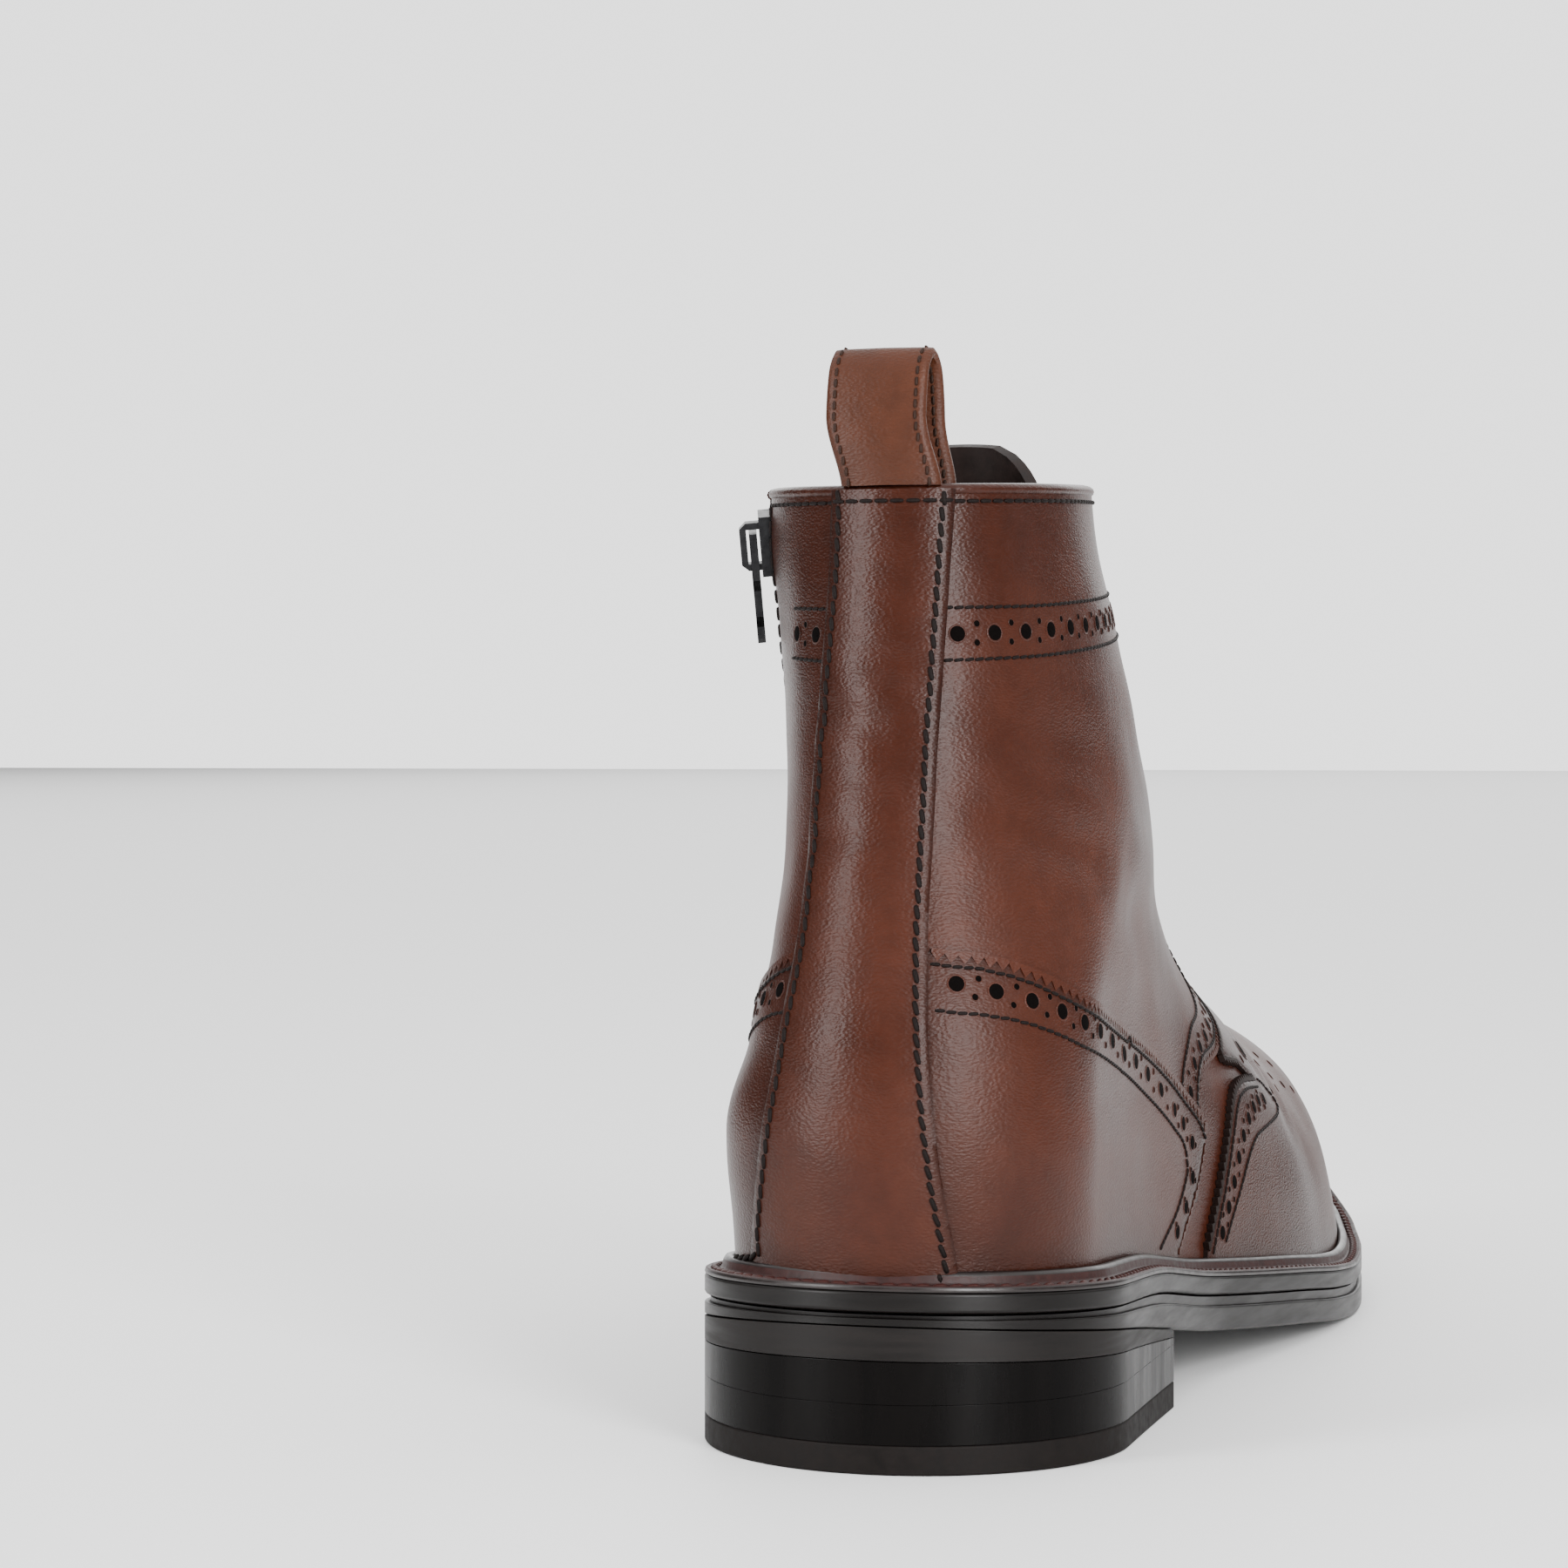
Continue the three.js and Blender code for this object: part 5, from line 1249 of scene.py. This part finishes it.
def pullLoop():
    half, thick = loop["width"] / 2, loop["thickness"] / 2
    across = [(-half, 0.35), (-half + 0.3, 0.9), (-half + 1.2, 1.0), (0, 1.08),
              (half - 1.2, 1.0), (half - 0.3, 0.9), (half, 0.35)]
    ring = across + [(x, -o) for x, o in reversed(across)]
    ts = np.linspace(0.03, 8.97, 110)
    points, faces = [], []
    for t in ts:
        for x, o in ring:
            points.append(loopPoint(t, x, o * thick)[0])
    count = len(ring)
    for k in range(len(ts) - 1):
        for m in range(count):
            n = (m + 1) % count
            faces.append((k * count + n, k * count + m, (k + 1) * count + m, (k + 1) * count + n))
    faces.append(tuple(range(count)))
    faces.append(tuple(reversed(range((len(ts) - 1) * count, len(ts) * count))))
    makeObject("pull_loop_leather", points, faces, loopLeather, replaces=["pull_loop"])
    spots = [[], [], [], []]
    for x in (-half + loop["edge"], half - loop["edge"]):
        fine = np.linspace(0.05, 8.4, 400)
        way = np.array([loopPoint(t, x, 0)[0] for t in fine])
        run = runAlong(way)
        for t in np.interp(np.arange(0.4, run[-1], loop["pitch"]), run, fine):
            for face in (1, -1):
                place, onward, outward = loopPoint(t, x, face * (thick * 1.04))
                for store, value in zip(spots, (place, onward, outward * face, (0.72, 0.75, 0.75))):
                    store.append(value)
    scatter("loop_stitches", stitchShape, loopThread, tuple(np.array(s) for s in spots))


pullLoop()

# Tongue, lace, eyelets and zip.


def overThroat(z, across, lift):   # places across the front, at heights on the ridge
    z, across = np.broadcast_arrays(np.asarray(z, float), np.asarray(across, float))
    front, step = ridgeFront(z), 0.5
    run = ridgeFront(z + step) - ridgeFront(z - step)
    steep = np.hypot(run, 1.0)
    inY, inZ = -1.0 / steep, run / steep
    side = np.where(across >= 0, 1, -1)
    low, high = np.zeros_like(z), np.full_like(z, 40.0)
    for _ in range(22):
        mid = (low + high) / 2
        short = skinHalf(front + inY * mid, z + inZ * mid, side) < np.abs(across)
        low, high = np.where(short, mid, low), np.where(short, high, mid)
    y, level = front + inY * high, z + inZ * high
    normal = np.stack([np.minimum(1.2, np.abs(across) / 16) * side, -inY, -inZ], -1)
    normal /= np.linalg.norm(normal, axis=-1, keepdims=True)
    places = np.stack([skinCentre(y, level) + across, y, level], -1)
    return places + normal * np.asarray(lift, float)[..., None], normal


tongue = {
    "top": 165.0, "bottom": 71.0, "lowHalf": 16.5, "topHalf": 17.5, "corner": 11, "thickness": 2.2,
    "under": 3.2,
}


def tongueSheet():
    top, corner = tongue["top"], tongue["corner"]
    heights = np.concatenate([np.linspace(tongue["bottom"], collar, 26), np.linspace(152.5, top - 0.15, 12)])
    across = np.sin(np.linspace(-1, 1, 17) * math.pi / 2)
    rounding = np.clip((heights - (top - corner)) / corner, 0, 0.999)
    half = lerp(tongue["lowHalf"], tongue["topHalf"], smooth(heights, boot["throatBottom"], top))
    half = half - corner * (1 - np.sqrt(1 - rounding ** 2))
    outside, out = overThroat(heights[:, None], half[:, None] * across[None], -tongue["under"])
    rows, count = len(heights), len(across)
    inside = outside - out * tongue["thickness"]
    total = rows * count
    points = np.concatenate([outside.reshape(-1, 3), inside.reshape(-1, 3)])
    faces = []
    for i in range(rows - 1):
        for j in range(count - 1):
            a, d = i * count + j, (i + 1) * count + j
            b, c = a + 1, d + 1
            faces += [(d, c, b, a), (a + total, b + total, c + total, d + total)]
    rim = ([(0, j) for j in range(count)] + [(i, count - 1) for i in range(1, rows)]
           + [(rows - 1, j) for j in range(count - 2, -1, -1)] + [(i, 0) for i in range(rows - 2, 0, -1)])
    ids = [i * count + j for i, j in rim]
    for a, b in zip(ids, ids[1:] + ids[:1]):
        faces.append((a, b, b + total, a + total))
    makeObject("tongue_leather", points, faces, tongueLeather, replaces=["tongue"])


tongueSheet()

lace = {"rows": 5, "bottom": 88.0, "top": 146.0, "inset": 7.0, "radius": 1.15, "lift": 2.7, "dip": 1.2}


def laceRun():
    rowZ = np.linspace(lace["bottom"], lace["top"], lace["rows"])
    across = [float(throatHalf(z)) + lace["inset"] for z in rowZ]
    strands = [(0, -1, 0, 1)]
    for row in range(lace["rows"] - 1):
        strands += [(row, -1, row + 1, 1), (row, 1, row + 1, -1)]
    points, faces, sides = [], [], 8
    for rowA, sideA, rowB, sideB in strands:
        base = len(points)
        lifted = 0.35 if sideA > 0 else 0.0
        ts = np.linspace(0, 1, 15)
        sink = (np.maximum(0, 1 - ts / 0.08) ** 2 + np.maximum(0, (ts - 0.92) / 0.08) ** 2) * 2.6
        arch = np.sin(np.pi * ts)
        up = lace["lift"] + (lifted * 2 - lace["dip"] * arch ** 3) * arch - sink
        heights = lerp(rowZ[rowA], rowZ[rowB], ts)
        centres, out = overThroat(heights, lerp(sideA * across[rowA], sideB * across[rowB], ts), up)
        ahead = np.gradient(centres, axis=0)
        ahead /= np.linalg.norm(ahead, axis=1, keepdims=True)
        for centre, direction, up in zip(centres, ahead, out):
            sideways = np.cross(direction, up)
            sideways /= np.linalg.norm(sideways)
            other = np.cross(direction, sideways)
            for m in range(sides):
                angle = 2 * math.pi * m / sides
                around = sideways * math.cos(angle) + other * math.sin(angle)
                points.append(centre + lace["radius"] * around)
        for k in range(len(ts) - 1):
            low, high = base + k * sides, base + (k + 1) * sides
            for m in range(sides):
                n = (m + 1) % sides
                faces.append((low + m, low + n, high + n, high + m))
        faces.append(tuple(base + m for m in reversed(range(sides))))
        faces.append(tuple(base + (len(ts) - 1) * sides + m for m in range(sides)))
    makeObject("lace_cord", points, faces, laceCord, replaces=["lace"])
    spots = [[], [], [], []]
    for z, way in [(z, s) for z in rowZ for s in (1, -1)]:
        place, out = overThroat(z, way * (throatHalf(z) + lace["inset"]), 0.1)
        for store, value in zip(spots, (place, (0, 0, 1), out, (1, 1, 1))):
            store.append(value)
    ringProfile = [(1.5, -1.2), (1.45, 0.25), (1.75, 0.6), (2.4, 0.62), (2.9, 0.25), (3.0, -0.1)]
    ring = prototype("eyelet_shape", *lathe(ringProfile, 20))
    scatter("eyelets", ring, gunmetal, tuple(np.array(s, float) for s in spots))
    bpy.data.objects.remove(ring)


laceRun()


zipper = {"tapeHalf": 10.8, "tapeLow": 34.5, "tapeHigh": 150.6, "low": 39.5, "high": 149, "pitch": 1.25}


def tapeField(points):   # positive over the tape
    z = points[..., 2]
    value = np.minimum(zipper["tapeHalf"] - np.abs(points[..., 1] - zipY(z)),
                       np.minimum(z - zipper["tapeLow"], zipper["tapeHigh"] - z))
    return np.minimum(value, -points[..., 0] - ankle * 0.3)


def zipParts():
    panel("zip_tape_cloth", [tapeField], -2.5, -3.1, zipCloth, replaces=["zip_tape"],
          columns=(-1.0, 0.0), edgeDarkening=0.5)
    corners = [(-1, -1), (1, -1), (1, 1), (-1, 1)]
    box = ([(x, 0.5 * y, -0.5) for x, y in corners] + [(0.9 * x, 0.4 * y, 0.5) for x, y in corners])
    boxFaces = [(3, 2, 1, 0), (4, 5, 6, 7), (0, 1, 5, 4), (1, 2, 6, 5), (2, 3, 7, 6), (3, 0, 4, 7)]
    tooth = prototype("zip_tooth_shape", box, boxFaces, True)
    heights = np.linspace(zipper["low"], zipper["high"], 60)
    line = denseLine(np.stack([zipY(heights), heights], 1), sideAxes, innerHalf, -1.6)
    at, ahead, out = walk(line, zipper["pitch"])
    across = np.cross(out, ahead)
    offset = np.where(np.arange(len(at)) % 2 == 0, 0.55, -0.55)[:, None]
    spots = withStretch((at + across * offset, across, out), (1.7, 0.85, 1.1))
    scatter("zip_teeth_row", tooth, gunmetal, spots, replaces=["zip_teeth"])
    bpy.data.objects.remove(tooth)
    edges = []
    for way in (1, -1):
        points = np.stack([zipY(heights) + way * (boot["zipSlot"] / 2 + 1.6), heights], 1)
        edges.append(withStretch(walk(denseLine(points, sideAxes, innerHalf, skinTop), 2.9), (1.2, 1.0, 1.0)))
    scatter("zip_seam_stitches", stitchShape, thread, joinSpots(edges, False))
    for name in ("zip_slider", "zip_pull"):
        nodes[name].data.materials.clear()
        nodes[name].data.materials.append(gunmetal)


zipParts()
nodes["insole"].data.materials.clear()
nodes["insole"].data.materials.append(liningLeather)


def weltStitches():
    outer, inner = outlineLoop(boot["weltWidth"] * 0.34, None, 400)
    loopPoints = np.concatenate([outer, inner[1:-1][::-1]])
    line = np.column_stack([loopPoints, midsoleTop(loopPoints[:, 1]) + boot["weltRise"] * 0.24])
    closed = np.concatenate([line, line[:1]])
    run = runAlong(closed)
    steps = np.arange(0.5, run[-1], 2.6)
    at = readAlong(steps, run, closed)
    ahead = readAlong(steps + 0.5, run, closed) - readAlong(steps - 0.5, run, closed)
    ahead /= np.linalg.norm(ahead, axis=1, keepdims=True)
    out = np.tile([0.0, 0.0, 1.0], (len(at), 1))
    across = np.cross(out, ahead)
    slanted = ahead * 0.9 + across * 0.35
    spots = withStretch((at, slanted, out), (1.15, 1.6, 1.5))
    scatter("welt_stitches", stitchShape, weltThread, spots)


weltStitches()
for shape in (stitchShape, holeShadeShape, rimShape, toothShape):
    bpy.data.objects.remove(shape)
print("trim set")

# Floor, lights and camera.

view = {"turn": 15.5, "place": (0.15106, -0.73397, 0.111), "lens": 91.2, "sensor": 36.0, "shift": -50 / 1800}
studio = {
    "floor": 0.88, "behind": 2.2, "around": 0.12, "airFrom": 0.82, "airTo": 0.975,
    "key": 39, "second": 26, "side": 1.2, "top": 1450,
}


def stageFloor():
    mesh = bpy.data.meshes.new("floor")
    mesh.from_pydata([(-9, -4, 0), (9, -4, 0), (9, 14, 0), (-9, 14, 0)], [], [(0, 1, 2, 3)])
    obj = bpy.data.objects.new("floor", mesh)
    bpy.context.scene.collection.objects.link(obj)
    material, _, shader, _ = newMaterial("pale floor")
    shader.inputs["Base Color"].default_value = (*[studio["floor"]] * 3, 1)
    shader.inputs["Roughness"].default_value = 0.6
    mesh.materials.append(material)


def areaLight(name, place, target, width, tall, power):
    data = bpy.data.lights.new(name, "AREA")
    data.shape, data.size, data.size_y, data.energy = "RECTANGLE", width, tall, power
    obj = bpy.data.objects.new(name, data)
    bpy.context.scene.collection.objects.link(obj)
    obj.location = place
    obj.rotation_euler = (Vector(target) - Vector(place)).to_track_quat("-Z", "Y").to_euler()


def studioAir():   # a bright backdrop behind the boot, and dim air around it
    world = bpy.data.worlds.new("studio air")
    bpy.context.scene.world = world
    world.use_nodes = True
    tree = world.node_tree
    new, link = tree.nodes.new, tree.links.new
    place, towards, level = new("ShaderNodeTexCoord"), new("ShaderNodeVectorMath"), new("ShaderNodeMapRange")
    towards.operation = "DOT_PRODUCT"
    turn = math.radians(view["turn"])
    towards.inputs[1].default_value = (-math.sin(turn), math.cos(turn), 0)
    link(place.outputs["Object"], towards.inputs[0])
    link(towards.outputs["Value"], level.inputs["Value"])
    reach = {"From Min": "airFrom", "From Max": "airTo", "To Min": "around", "To Max": "behind"}
    for key, value in reach.items():
        level.inputs[key].default_value = studio[value]
    level.interpolation_type = "SMOOTHERSTEP"
    link(level.outputs["Result"], tree.nodes["Background"].inputs["Strength"])
    tree.nodes["Background"].inputs["Color"].default_value = (1, 1, 1, 1)


stageFloor()
studioAir()
areaLight("right softbox", (0.9, -1.1, 0.42), (0, 0, 0.1), 0.42, 1.1, studio["key"])
areaLight("left softbox", (-0.95, -1.1, 0.42), (0, 0, 0.1), 0.42, 1.1, studio["second"])
areaLight("side softbox", (1.5, 0.55, 0.5), (0, 0, 0.1), 0.5, 1.0, studio["side"])
areaLight("overhead", (0.0, 7.0, 3.2), (0, 7.0, 0), 11, 22, studio["top"])

camera = bpy.data.cameras.new("camera")
camera.lens, camera.sensor_width, camera.shift_y = view["lens"], view["sensor"], view["shift"]
cameraObject = bpy.data.objects.new("camera", camera)
bpy.context.scene.collection.objects.link(cameraObject)
cameraObject.location = view["place"]
cameraObject.rotation_euler = (math.radians(90), 0, math.radians(view["turn"]))
bpy.context.scene.camera = cameraObject
print("stage set")
